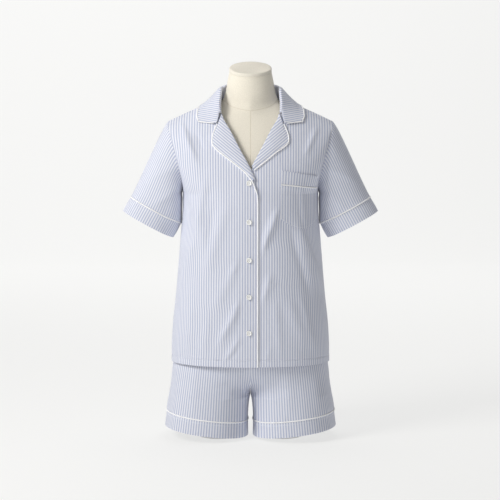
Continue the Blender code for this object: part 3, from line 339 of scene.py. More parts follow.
# The buttons' heights, the line they are on, and their distance from the cloth.
BUTTON_Z = (0.6208, 0.5298, 0.4400, 0.3529, 0.2677)
BUTTON_X = -0.0036
BUTTON_LIFT = 0.0008

# The pocket's sides at half its height, seen from the front.
POCKET_LEFT = 0.0700
POCKET_RIGHT = 0.1560
# Heights of the pocket's lines across its width: share, height.
POCKET_TOP = ((0.0, 0.6480), (0.5, 0.6470), (1.0, 0.6450))
POCKET_LINE = ((0.0, 0.6180), (0.5, 0.6160), (1.0, 0.6130))
POCKET_FOOT = ((0.00, 0.5370), (0.17, 0.5255), (0.52, 0.5120), (0.84, 0.5200), (1.00, 0.5330))
# Where the pocket's heights and its sides are measured: x, height.
POCKET_MIDDLE = (0.1000, 0.5800)
# Share of the pocket's lean that is taken out.
POCKET_UPRIGHT = 0.8
# Distance from the front, thickness of pocket and band, the gap for the cord between them and
# the height of the cord's middle.
POCKET_LIFT = 0.0010
POCKET_CLOTH = 0.0012
POCKET_BAND = 0.0014
POCKET_GAP = 2 * SEAM + 2 * PIPE + 0.0004
POCKET_CORD_LIFT = 0.0013 + PIPE

# Smaller creases on the fronts: side, start x, start z, end x, end z, height, width.
FRONT_CREASES = (
    (-1, 0.160, 0.752, 0.131, 0.684, 0.0030, 0.0070),
    (-1, 0.128, 0.735, 0.112, 0.700, -0.0018, 0.0060),
    (-1, 0.106, 0.618, 0.129, 0.488, 0.0042, 0.0100),
    (-1, 0.129, 0.488, 0.165, 0.394, 0.0042, 0.0110),
    (-1, 0.085, 0.560, 0.108, 0.440, -0.0022, 0.0090),
    (-1, 0.014, 0.356, 0.067, 0.262, 0.0046, 0.0065),
    (-1, 0.020, 0.338, 0.080, 0.250, -0.0020, 0.0070),
    (-1, 0.014, 0.268, 0.059, 0.205, 0.0038, 0.0055),
    (-1, 0.018, 0.448, 0.050, 0.400, 0.0016, 0.0060),
    (-1, 0.150, 0.610, 0.120, 0.520, 0.0022, 0.0080),
    (-1, 0.140, 0.330, 0.150, 0.230, 0.0026, 0.0110),
    (-1, 0.100, 0.300, 0.112, 0.215, 0.0018, 0.0090),
    (1, 0.062, 0.555, 0.022, 0.452, 0.0038, 0.0070),
    (1, 0.047, 0.404, 0.022, 0.340, 0.0022, 0.0070),
    (1, 0.113, 0.520, 0.164, 0.385, 0.0042, 0.0085),
    (1, 0.118, 0.606, 0.130, 0.500, 0.0022, 0.0070),
    (1, 0.097, 0.500, 0.140, 0.360, -0.0026, 0.0085),
    (1, 0.120, 0.347, 0.150, 0.230, 0.0028, 0.0100),
    (1, 0.060, 0.330, 0.070, 0.225, 0.0016, 0.0100),
    (1, 0.036, 0.202, 0.046, 0.230, 0.0014, 0.0060),
    (1, 0.155, 0.745, 0.130, 0.690, 0.0024, 0.0070),
)
# Folds fade out: near the side seam, in radians, near the lap's edge, where they begin after a
# gap, and towards the shoulder on the back, as lowest level and length.
FOLD_SIDE_FADE = 0.35
FOLD_LAP_GAP = 0.004
FOLD_LAP_FADE = 0.02
BACK_FADE = (0.6, 0.4)
# The lap's lift fades out towards the shoulder likewise.
LAP_TOP_FADE = (0.75, 0.25)
# Steps in angle and level by which a normal is found, and halvings by which a place is.
TINY_ANGLE = 0.02
TINY_LEVEL = 0.012
HALVINGS = 40
# Smaller creases on the back: top x, top z, foot x, foot z, height, width.
BACK_CREASES = (
    (-0.120, 0.700, -0.095, 0.600, 0.0016, 0.0070),
    (0.125, 0.705, 0.100, 0.610, 0.0016, 0.0070),
    (-0.060, 0.400, -0.090, 0.250, 0.0018, 0.0070),
    (0.050, 0.520, 0.075, 0.380, 0.0016, 0.0080),
    (0.000, 0.360, -0.010, 0.220, 0.0012, 0.0060),
    (0.130, 0.450, 0.150, 0.300, 0.0020, 0.0080),
    (-0.140, 0.500, -0.150, 0.340, 0.0020, 0.0080),
)
# Sleeve folds: side, start round and down, end round and down, height, width. Round runs from
# the underarm over the front to the shoulder and on down the back.
SLEEVE_ROUND = 0.1900
SLEEVE_DOWN = 0.2000
SLEEVE_FOLDS = (
    (-1, 0.040, 0.030, 0.100, 0.180, 0.0030, 0.0090),
    (-1, 0.075, 0.020, 0.135, 0.130, 0.0018, 0.0080),
    (-1, 0.330, 0.030, 0.280, 0.170, 0.0026, 0.0100),
    (1, 0.050, 0.030, 0.090, 0.180, 0.0028, 0.0090),
    (1, 0.085, 0.040, 0.150, 0.150, 0.0020, 0.0080),
    (1, 0.320, 0.030, 0.270, 0.160, 0.0028, 0.0100),
)
# The shorts' folds fade out near the side seams, in shares of a panel, and above the leg's cord.
SHORTS_SIDE_FADE = 0.12
SHORTS_FADE_Z = 0.058
SHORTS_FADE_TALL = 0.02
# Shorts folds: side, start x, start z, end x, end z, height, width.
SHORTS_FRONT_FOLDS = (
    (-1, 0.020, 0.175, 0.055, 0.110, 0.0016, 0.0080),
    (-1, 0.130, 0.190, 0.140, 0.080, 0.0014, 0.0120),
    (1, 0.020, 0.170, 0.050, 0.105, 0.0015, 0.0080),
    (1, 0.085, 0.190, 0.095, 0.080, 0.0014, 0.0120),
    (1, 0.150, 0.180, 0.165, 0.075, 0.0018, 0.0110),
)
SHORTS_BACK_FOLDS = (
    (-1, 0.030, 0.180, 0.070, 0.100, 0.0020, 0.0090),
    (-1, 0.120, 0.200, 0.135, 0.080, 0.0018, 0.0130),
    (1, 0.030, 0.175, 0.065, 0.100, 0.0020, 0.0090),
    (1, 0.110, 0.195, 0.120, 0.080, 0.0016, 0.0130),
)

# Steps of the fine cloth, and the sides of a cord.
FINE = 5
FRONT_COLS = 97
SLEEVE_ROWS = 60
LAPEL_ROWS = 90
POCKET_COLS = 40
SHORTS_COLS = 60
LEG_COLS = 61
CORD_SIDES = 10
# Thickness of the shell, and the angle from which an edge is shaded sharp.
THIN = 0.0010
SHARP_ANGLE = math.radians(50)
# Points nearer to each other than this are one.
MERGE = 0.00001

# Distance from one blue stripe to the next, and how many times closer they are on some pieces.
STRIPE_PITCH = 0.0063
SLEEVE_SPREAD = 1.06
CUFF_SPREAD = 1.05
POCKET_SPREAD = 0.92
# Where the pocket's first stripes are on the front's count.
POCKET_START = 0.0715
# The collar's stripes: across the neck's line at the back, straight and near level in front,
# counted from this column on, where the fall begins.
FOLD_COLUMN = 10
COLLAR_SPREAD = 1.26
COLLAR_LEAN = math.radians(12.5)
COLLAR_TURN_START = 0.50
COLLAR_TURN_LONG = 0.20
COLLAR_MEETING = 0.65
# The shorts' stripes fan out downwards from a height, spaced along this section of the hips.
FAN_Z = 0.1900
FAN_RATE = 0.85
FAN_SECTION = (0.1950, 0.1150, 2.3)
FAN_SPREAD = 1.08
FAN_COLUMNS = (6, 46)
FAN_STEPS = 200
# How far the sleeve's lower inner side hangs nearer the body than its solid, and where.
CLOSE_BY = 0.0039
CLOSE_Z = 0.5970
CLOSE_TALL = 0.0220
CLOSE_X = 0.2050
CLOSE_WIDE = 0.0250
# Folds fade out towards the sleeve's seam and towards its end, over these shares of its length.
SLEEVE_FADE = (0.3, 0.12)
# The stripes of a turned-out lapel: the front's upright ones mirrored in the roll line.
LAPEL_STRIPE = math.radians(38.8)
LAPEL_SPREAD = 1.17

# A stitch: length, gap, width at its foot, share of it at its top, height and depth in the cloth.
STITCH_LONG = 0.0024
STITCH_GAP = 0.0008
STITCH_WIDE = 0.0006
STITCH_TAPER = 0.6
STITCH_HIGH = 0.0002
STITCH_SINK = 0.0001
# Lines of stitches: x and top of the one beside the front's edge, height of the hem's over the
# hem, the x at which it is looked up, and a leg's: its drop under the band's top and its stand.
STITCH_X = 0.0098
STITCH_TOP = 0.5900
HEM_STITCH = 0.0160
HEM_STITCH_X = 0.1
LEG_STITCH_DROP = 0.0060
LEG_STITCH_OUT = 0.0001
# How far the lines stay from the ends: in metres, in shares of a front and in radians.
STITCH_END = 0.002
STITCH_SHARES = (0.002, 0.995)
STITCH_ANGLE = 1.56
# The hem's turned-up edge: the stitched line's level, the rows beside it and its heights.
HEM_LEVEL = -0.9610
HEM_STEPS = np.array((-0.010, -0.005, -0.002, 0.002, 0.005, 0.010))
HEM_RISE = 0.0004
HEM_DENT = 0.0007
HEM_DENT_WIDE = 0.0040

# A button's outline from the back's centre to the face's centre: radius, height.
BUTTON_OUTLINE = (
    (0.0000, 0.0000),
    (0.0056, 0.0000),
    (0.0062, 0.0004),
    (0.0065, 0.0012),
    (0.0063, 0.0021),
    (0.0058, 0.0026),
    (0.0051, 0.0026),
    (0.0046, 0.0021),
    (0.0042, 0.0016),
    (0.0030, 0.0014),
    (0.0000, 0.0014),
)
BUTTON_FACE = 0.0014
BUTTON_TURNS = 48
# The four holes, drawn as dark discs of painted shade: distance from the middle, radius, height over
# the face and corners.
HOLE_STEP = 0.0011
HOLE_RADIUS = 0.0006
HOLE_LIFT = 0.00006
HOLE_TURNS = 12
# The thread through them: radius, bow over the face and steps.
THREAD_RADIUS = 0.00032
THREAD_BOW = 0.0004
THREAD_STEPS = 5
# The worked hole: half width, half height, radius and height of its rim, and steps.
HOLE_HALF_WIDE = 0.0009
HOLE_HALF_TALL = 0.0085
RIM_RADIUS = 0.00042
RIM_LIFT = 0.0002
RIM_STEPS = 40

# The neck's cap from its foot up: height over the neck, share of its width.
CAP_ROWS = (
    (0.0000, 0.985),
    (0.0006, 1.000),
    (0.0085, 0.995),
    (0.0100, 0.985),
    (0.0108, 0.960),
    (0.0111, 0.900),
    (0.0112, 0.500),
)
# How much its top leans, and over what height the lean begins.
CAP_LEAN = 0.05
CAP_LEAN_TALL = 0.008
# The form's corners and rows, and the height from which its rows are finer.
FORM_TURNS = 112
FORM_STEPS = 60
FORM_FINE_Z = 0.74
FORM_FINE_GAP = 0.002
# The form's seams: radius, the middle of the front, the middle of the back, and the line round
# the neck, which rises to its sides and ends short of the back.
FORM_SEAM = 0.0006
FRONT_SEAM_FOOT = 0.6200
BACK_SEAM = (0.3000, 0.8400)
NECK_SEAM_Z = 0.7896
NECK_SEAM_RISE = 0.0270
NECK_SEAM_ANGLE = 2.9

# The camera's aim, distance, height in degrees and lens in millimetres.
CAMERA_AIM = (-0.0012, 0.0066, 0.4533)
CAMERA_AWAY = 4.0
CAMERA_UP = 5.0
LENS = 119.0
# The wall behind, its height, half the floor's width, the turn between them and their own glow.
WALL_Y = 5.6
WALL_HIGH = 5.0
FLOOR_REACH = 30.0
SWEEP = 1.4
SWEEP_STEPS = 12
FLOOR_GLOW = 0.69
# Light from all round.
WORLD_COLOR = (1.0, 1.0, 1.0, 1.0)
WORLD_STRENGTH = 0.16
# Lights: name, place, aim, width and height, power, colour.
LIGHTS = (
    ("key", (-1.9, -1.5, 2.0), (0.0, 0.0, 0.55), (1.1, 1.1), 60.0, (1.0, 0.99, 0.97)),
    ("front_fill", (0.4, -3.6, 1.6), (0.0, 0.0, 0.4), (2.0, 2.0), 8.0, (1.0, 1.0, 1.0)),
    ("top", (0.0, 0.5, 2.9), (0.0, 0.0, 0.8), (1.2, 1.2), 12.0, (1.0, 1.0, 0.99)),
    ("wall", (-1.0, 3.2, 3.6), (0.0, 5.6, 0.9), (6.0, 1.0), 125.0, (1.0, 1.0, 1.0)),
)


def refined(values, times):
    """The values with equal steps put between them."""
    places = np.linspace(0, len(values) - 1, (len(values) - 1) * times + 1)
    return np.interp(places, np.arange(len(values)), values)


# Rows and columns of the grids: turns of a rolled edge in half circles, levels of the top's body
# from the hem, -1, to the underarm, 0, and the shoulder, 1, shares of a lapel and falls of the
# collar, then shares of the collar's length and heights of the shorts.
ROLL_TURNS = np.arange(0, 0.9, 0.125)
UPPER = refined((0, 0.05, 0.11, 0.19, 0.29, 0.4, 0.52, 0.64, 0.75, 0.85, 0.92, 0.97, 1.0), FINE)
LOWER = np.sort(np.concatenate([np.linspace(-1, 0, 12 * FINE, endpoint=False), HEM_LEVEL + HEM_STEPS]))
LEVELS = np.concatenate([LOWER, UPPER])
SHARES = np.linspace(0.02, 1.0, 28)
FALLS = np.linspace(0.04, 1.0, 30)
COLLAR_SHARES = np.linspace(0, 1, 90)
RISE_STEPS = np.sin(np.linspace(0, math.pi / 2, 36))
UPPER_Z = np.linspace(0.4040, RISE_Z, 40)
LEG_Z = np.linspace(CROTCH_Z, 0.0560, 22)[1:]


def spline(rows, at):
    """Smooth values between rows of numbers, the first of each being where it stands."""
    table = np.asarray(rows, float)
    knots = table[:, 0]
    values = table[:, 1:]
    if knots[0] > knots[-1]:
        knots = knots[::-1]
        values = values[::-1]
    at = np.clip(np.asarray(at, float), knots[0], knots[-1])
    slopes = np.gradient(values, knots, axis=0)
    low = np.clip(np.searchsorted(knots, at, side="right") - 1, 0, len(knots) - 2)
    span = knots[low + 1] - knots[low]
    q = ((at - knots[low]) / span)[..., None]
    span = span[..., None]
    first = (1 + 2 * q) * (1 - q) ** 2 * values[low] + q * (1 - q) ** 2 * span * slopes[low]
    last = q * q * (3 - 2 * q) * values[low + 1] + q * q * (q - 1) * span * slopes[low + 1]
    return np.moveaxis(first + last, -1, 0)


def ease(t):
    t = np.clip(t, 0.0, 1.0)
    return t * t * (3 - 2 * t)


def unit(vectors):
    size = np.linalg.norm(vectors, axis=-1, keepdims=True)
    return vectors / np.maximum(size, 1e-12)


def pack(x, y, z):
    return np.stack(np.broadcast_arrays(x, y, z), axis=-1).astype(float)


def grid_normals(grid, ring=False):
    """Unit normals of a grid of points by central differences."""
    if ring:
        across = np.roll(grid, -1, axis=1) - np.roll(grid, 1, axis=1)
    else:
        across = np.gradient(grid, axis=1)
    along = np.gradient(grid, axis=0)
    return unit(np.cross(across, along))


def fold_height(table, side, x, z):
    """Height of the folds at a point of a front, or of the back where side is None."""
    total = np.zeros(np.broadcast(x, z).shape)
    for row in table:
        if side is None:
            x0, z0, x1, z1, height, width = row
        else:
            if row[0] != side:
                continue
            x0, z0, x1, z1, height, width = row[1:]
        dx = x1 - x0
        dz = z1 - z0
        long = math.hypot(dx, dz)
        share = ((x - x0) * dx + (z - z0) * dz) / long**2
        off = ((x - x0) * dz - (z - z0) * dx) / long
        taper = ease((share + 0.25) / 0.5) * ease((1.25 - share) / 0.5)
        total = total + height * taper * np.exp(-((off / width) ** 2))
    return total


def level_of(level, face):
    """Half width, side depth, middle depth, its arch, middle height and side height of a row."""
    level = np.asarray(level, float)
    z = HEM_Z + (ARMPIT_Z - HEM_Z) * (level + 1)
    width, front, back = spline(BODY_ROWS, np.minimum(z, ARMPIT_Z))
    hole_x, hole_front, hole_back, hole_z = spline(ARMHOLE_ROWS, np.maximum(level, 0))
    climb = (hole_z - ARMPIT_Z) / (SHOULDER_END_Z - ARMPIT_Z)
    middle_z = ARMPIT_Z + (SHOULDER_Z - ARMPIT_Z) * climb
    high = np.clip((middle_z - CHEST_Z) / (SHOULDER_Z - CHEST_Z), 0, 1)
    power = CHEST_ARCH if face < 0 else BACK_ARCH
    arch = (1 - high**power) ** (1 / power)
    upper = level > 0
    half = np.where(upper, hole_x, width)
    side = np.where(upper, hole_front if face < 0 else hole_back, 0.0)
    deep = front if face < 0 else back
    low_z = np.minimum(z, ARMPIT_Z)
    middle_z = np.where(upper, middle_z, low_z)
    side_z = np.where(upper, hole_z, low_z)
    return half, side, deep, arch, middle_z, side_z


def shoulder_fall(x, half):
    """How far, 0 to 1, the shoulder has fallen at x."""
    return np.clip((np.abs(x) - SLOPE_X) / (half - SLOPE_X), 0, 1) ** SLOPE_POWER


def plain_point(face, angle, level):
    """The top's body without folds, in the half where x is positive."""
    half, side, deep, arch, middle_z, side_z = level_of(level, face)
    s = np.sin(angle)
    c = np.abs(np.cos(angle))
    x = half * np.sign(s) * np.abs(s) ** (2 / POWER)
    if face < 0:
        middle = deep * arch
    else:
        nape = NAPE_Y * np.sqrt(np.clip(1 - (x / NECK_X) ** 2, 0, 1))
        middle = nape * (1 - arch) + deep * arch
    y = face * (side + (middle - side) * c ** (2 / POWER))
    return pack(x, y, middle_z + (side_z - middle_z) * shoulder_fall(x, half))


def body_point(side, face, angle, level, out=0.0):
    """A point of the top's outer surface. The side is -1 for the wearer's right."""
    angle = np.asarray(angle, float)
    level = np.asarray(level, float)
    base = plain_point(face, angle, level)
    above = plain_point(face, angle, np.minimum(level + TINY_LEVEL, 1.0))
    below = plain_point(face, angle, np.maximum(level - TINY_LEVEL, -1.0))
    after = plain_point(face, angle + TINY_ANGLE, level)
    before = plain_point(face, angle - TINY_ANGLE, level)
    normal = unit(np.cross(after - before, above - below)) * (1 if face < 0 else -1)
    lift = np.asarray(out, float)
    if face < 0:
        lap = LAP_LIFT * (1 - ease((base[..., 0] - LAP - 0.001) / LAP_FADE))
        fade = 1 - ease((level - LAP_TOP_FADE[0]) / LAP_TOP_FADE[1])
        rise = fold_height(FRONT_FOLDS + FRONT_CREASES, side, base[..., 0], base[..., 2])
        edge = ease((math.pi / 2 - angle) / FOLD_SIDE_FADE)
        edge = edge * ease((base[..., 0] - LAP - FOLD_LAP_GAP) / FOLD_LAP_FADE)
        lift = lift - side * lap * fade + rise * edge
    else:
        rise = fold_height(BACK_FOLDS + BACK_CREASES, None, side * base[..., 0], base[..., 2])
        edge = ease((math.pi / 2 - np.abs(angle)) / FOLD_SIDE_FADE)
        lift = lift + rise * edge * (1 - ease((level - BACK_FADE[0]) / BACK_FADE[1]))
    found = base + normal * lift[..., None]
    found[..., 0] *= side
    normal[..., 0] *= side
    return found, normal


def locate(face, x, z):
    """Angle and level of the point of the body at x and z, x being positive outwards."""
    x, z = np.broadcast_arrays(np.asarray(x, float), np.asarray(z, float))
    low = np.full(x.shape, -1.0)
    high = np.full(x.shape, 1.0)
    for _ in range(HALVINGS):
        middle = (low + high) / 2
        half, _, _, _, middle_z, side_z = level_of(middle, face)
        above = middle_z + (side_z - middle_z) * shoulder_fall(x, half) > z
        high = np.where(above, middle, high)
        low = np.where(above, low, middle)
    level = (low + high) / 2
    half = level_of(level, face)[0]
    share = np.clip(np.abs(x) / half, 0, 1)
    return np.sign(x) * np.arcsin(share ** (POWER / 2)), level


def start_angles(levels):
    """Where a front begins in each row: at the lap edge, then along the roll line."""
    half, _, _, _, middle_z, _ = level_of(levels, -1)
    edge = np.where(levels < 0, -LAP, spline(ROLL_ROWS, middle_z)[0])
    return np.sign(edge) * np.arcsin((np.abs(edge) / half) ** (POWER / 2))


def rim_directions(levels, side):
    """Shared directions of the walls' rims at the side seam and round the armhole."""
    hole_x, hole_front, _, hole_z = spline(ARMHOLE_ROWS, np.maximum(levels, 0))
    rims = pack(ARMHOLE_CENTRE[0] - hole_x, hole_front, ARMHOLE_CENTRE[2] - hole_z)
    rims = unit(rims)
    rims[levels < 0] = (-1.0, 0.0, 0.0)
    rims[:, 0] *= side
    return rims


def front_grid(side):
    first = start_angles(LEVELS)
    share = np.linspace(0, 1, FRONT_COLS)
    angle = first[:, None] + (math.pi / 2 - first[:, None]) * share[None, :]
    return body_point(side, -1, angle, LEVELS[:, None])


def on_panel(side, share, level, out=0.0):
    """Point and normal of a front's flat faces, moved out."""
    grid, normals = PANELS[side]
    column = np.clip(share, 0, 1) * (FRONT_COLS - 1)
    row = np.interp(level, LEVELS, np.arange(len(LEVELS)))
    c = np.clip(np.floor(column).astype(int), 0, FRONT_COLS - 2)
    r = np.clip(np.floor(row).astype(int), 0, len(LEVELS) - 2)
    fc = (column - c)[..., None]
    fr = (row - r)[..., None]
    mixed = []
    for field in (grid, normals):
        low = field[r, c] * (1 - fc) + field[r, c + 1] * fc
        high = field[r + 1, c] * (1 - fc) + field[r + 1, c + 1] * fc
        mixed.append(low * (1 - fr) + high * fr)
    normal = unit(mixed[1])
    return mixed[0] + normal * np.asarray(out, float)[..., None], normal


def on_front(side, x, z, out=0.0):
    angle, level = locate(-1, x, z)
    first = start_angles(level)
    share = (angle - first) / (math.pi / 2 - first)
    return on_panel(side, share, level, out)


def armhole_loop(side):
    """Armhole points and rim directions, from the underarm by the front and back down."""
    hole_x, hole_front, hole_back, hole_z = spline(ARMHOLE_ROWS, UPPER)
    ahead = pack(hole_x, -hole_front, hole_z)
    behind = pack(hole_x, hole_back, hole_z)
    loop = np.concatenate([ahead, behind[-2:0:-1]])
    rims = unit(np.array(ARMHOLE_CENTRE) - loop)
    share = np.concatenate([UPPER, UPPER[-2:0:-1]])
    back = np.concatenate([np.zeros(len(UPPER)), np.ones(len(UPPER) - 2)])
    loop[:, 0] *= side
    rims[:, 0] *= side
    return loop, rims, share, back


def cuff_ring(side, share, back, along=0.0, inset=0.0):
    """Points of the sleeve opening, moved along the sleeve's axis."""
    turn = share * math.pi
    long = CUFF_LONG - inset
    deep = CUFF_DEEP - inset
    reach = -np.cos(turn) * long
    depth = np.sin(turn) ** CUFF_POWER * deep * np.where(back > 0, 1.0, -1.0)
    x = CUFF_CENTRE[0] + reach * math.cos(CUFF_TILT) + along * math.sin(CUFF_TILT)
    z = CUFF_CENTRE[2] + reach * math.sin(CUFF_TILT) - along * math.cos(CUFF_TILT)
    return pack(side * x, CUFF_CENTRE[1] + depth, z)


def sleeve_axis(side):
    return np.array([side * math.sin(CUFF_TILT), 0.0, -math.cos(CUFF_TILT)])


def sleeve_rings(side, steps):
    """Rings from the armhole to the opening, leaving both along the sleeve."""
    loop, rims, share, back = armhole_loop(side)
    start = loop.copy()
    start[:, 0] += side * SEAM * (1 + SLEEVE_GAPS * (1 - share) ** SLEEVE_GAP_POWER)
    finish = cuff_ring(side, share, back)
    aside, up, pull = spline(SLEEVE_LEAN, share)
    away = unit(pack(aside * side, 0.0, up)) * pull[:, None]
    reach = np.linalg.norm(finish - start, axis=-1)[:, None]
    least, more, full = SLEEVE_BEND
    bend = least + more * ease(share / full)[:, None]
    t = np.asarray(steps, float)[:, None, None]
    grid = (
        (1 + 2 * t) * (1 - t) ** 2 * start
        + t * (1 - t) ** 2 * away
        + t * t * (3 - 2 * t) * finish
        + t * t * (t - 1) * sleeve_axis(side) * reach * bend
    )
    return grid, rims


def lapel_grid(side, table, steps, shares):
    """Middle surface of a lapel: round the roll first, then out to the edge."""
    roll_x, roll_z, edge_x, edge_z = spline(table, np.asarray(steps, float))
    level = locate(-1, roll_x, roll_z)[1]
    root, normal = on_panel(side, np.zeros(level.shape), level)
    near_x = roll_x + (edge_x - roll_x) * LAPEL_NEAR
    near_z = roll_z + (edge_z - roll_z) * LAPEL_NEAR
    near = on_front(side, near_x, near_z)[0]
    toward = near - root
    run = unit(np.gradient(root, axis=0))
    for away in (normal, run, normal):
        toward = toward - np.sum(toward * away, axis=-1, keepdims=True) * away
    toward = unit(toward)
    columns = []
    for turn in ROLL_TURNS:
        a = turn * math.pi
        aside = 2 * SEAM + LAPEL_ROLL * math.sin(a)
        rise = LAPEL_ROLL * (1 - math.cos(a)) - CLOTH / 2
        columns.append(root - toward * aside + normal * rise)
    for share in shares:
        x = roll_x + (edge_x - roll_x) * share
        z = roll_z + (edge_z - roll_z) * share
        lift = LAPEL_LIFT - LAPEL_FALL * share + LAPEL_BELLY * math.sin(math.pi * share)
        columns.append(on_front(side, x, z, lift)[0])
    return np.stack(columns, axis=1)


def beyond(grid, distance):
    """Points past the last column of a grid, in line with its last two columns."""
    return grid[:, -1] + unit(grid[:, -1] - grid[:, -2]) * distance


def lapel_edge(side, table, steps):
    """Middle of the cord round a lapel, a little outside its edge."""
    edge_x, edge_z = spline(table, np.asarray(steps, float))[2:]
    run = unit(np.stack([np.gradient(edge_x), np.gradient(edge_z)], axis=-1))
    outward = np.stack([run[:, 1], -run[:, 0]], axis=-1)
    reach = 3 * SEAM + PIPE
    x = edge_x + outward[:, 0] * reach
    z = edge_z + outward[:, 1] * reach
    return on_front(side, x, z, LAPEL_CORD_LIFT)[0]


def collar_place(row_face, x, z):
    """Level on the body, 0 to 1 up the front and 1 to 2 down the back."""
    if row_face == 0:
        return 1.0
    level = float(locate(row_face, x, z)[1])
    return level if row_face < 0 else 2 - level


def over_body(x, way):
    """Point and normal of the body where the way runs up the front and down the back."""
    x, way = np.broadcast_arrays(x, way)
    half_front = level_of(np.minimum(way, 1), -1)[0]
    half_back = level_of(np.clip(2 - way, 0, 1), 1)[0]
    half = np.where(way < 1, half_front, half_back)
    angle = np.arcsin(np.clip(x / half, 0, 1) ** (POWER / 2))
    ahead = body_point(1, -1, angle, np.minimum(way, 1.0))
    behind = body_point(1, 1, angle, np.clip(2 - way, 0, 1))
    is_front = (way < 1)[..., None]
    normal = np.where(is_front, ahead[1], behind[1])
    ridge = np.exp(-(((way - 1) / RIDGE_WIDE) ** 2))[..., None]
    normal = unit(normal * (1 - ridge) + RIDGE_OUT * ridge)
    return np.where(is_front, ahead[0], behind[0]), normal


def collar_half(shares, falls):
    """Middle surface of the collar from centre back to the gorge, on the wearer's left."""
    places = []
    for row in COLLAR_ROWS:
        share, seam_x, seam_z, seam_face, edge_x, edge_z, edge_face, stand = row
        places.append(
            (
                share,
                seam_x,
                collar_place(seam_face, seam_x, seam_z),
                edge_x,
                collar_place(edge_face, edge_x, edge_z),
                stand,
            )
        )
    seam_x, seam_way, edge_x, edge_way, stand = spline(places, shares)
    seam_way = np.where(shares < BACK_SHARE, np.maximum(seam_way, 1.0), seam_way)
    notch_way = collar_place(-1, NOTCH_X, NOTCH_Z)
    root, normal = over_body(seam_x, seam_way)
    to_front = ease((shares - FRONT_SHARE) / FRONT_LONG)[:, None]
    out = unit(pack(root[:, 0], root[:, 1], 0.0))
    out = unit(out * (1 - to_front) + np.array(GORGE_OUT) * to_front)
    rise = unit(pack(-STAND_LEAN * out[:, 0], -STAND_LEAN * out[:, 1], 1.0))
    rise = unit(rise * (1 - to_front) + normal * to_front)
    radius = COLLAR_ROLL + (GORGE_ROLL - COLLAR_ROLL) * to_front
    stand = stand[:, None]
    foot = root + rise * COLLAR_FOOT
    columns = [foot, foot + rise * (stand - radius) * 0.5, foot + rise * (stand - radius)]
    bend = foot + rise * (stand - radius) + out * radius
    for turn in ROLL_TURNS[1:]:
        a = turn * math.pi
        columns.append(bend - out * radius * math.cos(a) + rise * radius * math.sin(a))
    blunt = ease((shares - END_SHARE) / (1 - END_SHARE))
    for t in falls:
        x = seam_x + (edge_x - seam_x) * t
        way = seam_way + (edge_way - seam_way) * t
        if t < NOTCH_FALL:
            part = t / NOTCH_FALL
            x_end = seam_x + (NOTCH_X - seam_x) * part
            way_end = seam_way + (notch_way - seam_way) * part
        else:
            part = (t - NOTCH_FALL) / (1 - NOTCH_FALL)
            x_end = NOTCH_X + (edge_x - NOTCH_X) * part
            way_end = notch_way + (edge_way - notch_way) * part
        x = x * (1 - blunt) + x_end * blunt
        way = way * (1 - blunt) + way_end * blunt
        base, up = over_body(x, way)
        left = (1 - t) ** FALL_TURN_POWER
        lean = unit(rise * left + up * (1 - left))
        lift = COLLAR_LIFT + (stand - COLLAR_LIFT) * (1 - t) ** FALL_SINK_POWER
        columns.append(base + lean * lift + out * 2 * radius * (1 - t) ** FALL_DRAW_POWER)
    return np.stack(columns, axis=1)


def both_sides(half):
    """A half from the middle outwards, with its mirror image before it."""
    flipped = half[::-1].copy()
    flipped[..., 0] *= -1
    return np.concatenate([flipped[:-1], half])


def arc(share, half, deep, power):
    """Quarter of a section from the middle, share 0, to the side, share 1."""
    turn = share * math.pi / 2
    return half * np.sin(turn) ** (2 / power), deep * np.cos(turn) ** (2 / power)


def leg_arc(share, inner, outer, deep):
    """Half round a leg from the inseam, share 0, to the side seam, share 1."""
    turn = share * math.pi
    middle = (inner + outer) / 2
    reach = (outer - inner) / 2
    bend = np.abs(np.cos(turn)) ** LEG_POWER * np.sign(np.cos(turn))
    return middle - reach * bend, deep * np.sin(turn) ** LEG_POWER


def slope_of(x, z, amount):
    return z + HEM_SLOPE * (x - LEG_MIDDLE) * amount


def shorts_row(face, z, joined):
    """One row of a shorts panel on the wearer's left: joined is 0 at the waist, 1 at the legs."""
    share = np.linspace(0, 1, SHORTS_COLS)
    half, ahead, behind = spline(SHORTS_ROWS, z)
    deep = ahead if face < 0 else behind
    body_x, body_y = arc(share, half, deep, POWER)
    inner, outer, leg_front, leg_back = spline(LEG_ROWS, min(z, CROTCH_Z))
    leg_deep = leg_front if face < 0 else leg_back
    if z >= CROTCH_Z:
        outer = half
    leg_x, leg_y = leg_arc(share, inner, outer, leg_deep)
    x = body_x + (leg_x - body_x) * joined
    y = face * (body_y + (leg_y - body_y) * joined)
    amount = ease((HEM_SLOPE_Z - z) / HEM_SLOPE_TALL)
    return pack(x, y, slope_of(x, z, amount))


def shorts_grid(face):
    rows = [shorts_row(face, z, 0.0) for z in UPPER_Z]
    joins = [0.0] * len(UPPER_Z)
    for t in RISE_STEPS[1:]:
        joined = t**RISE_POWER
        rows.append(shorts_row(face, RISE_Z + (CROTCH_Z - RISE_Z) * t, joined))
        joins.append(joined)
    for z in LEG_Z:
        rows.append(shorts_row(face, z, 1.0))
        joins.append(2.0)
    return np.array(rows), np.array(joins)


def leg_ring(side, z, inset):
    """A ring round a leg, its inset being how far it lies inside the cloth's face."""
    share = np.linspace(0, 1, LEG_COLS)
    inner, outer, ahead, behind = spline(LEG_ROWS, z)
    x_front, y_front = leg_arc(share, inner + inset, outer - inset, ahead - inset)
    x_back, y_back = leg_arc(share, inner + inset, outer - inset, behind - inset)
    x = np.concatenate([x_front, x_back[-2:0:-1]])
    y = np.concatenate([-y_front, y_back[-2:0:-1]])
    return pack(side * x, y, slope_of(x, z, 1.0))


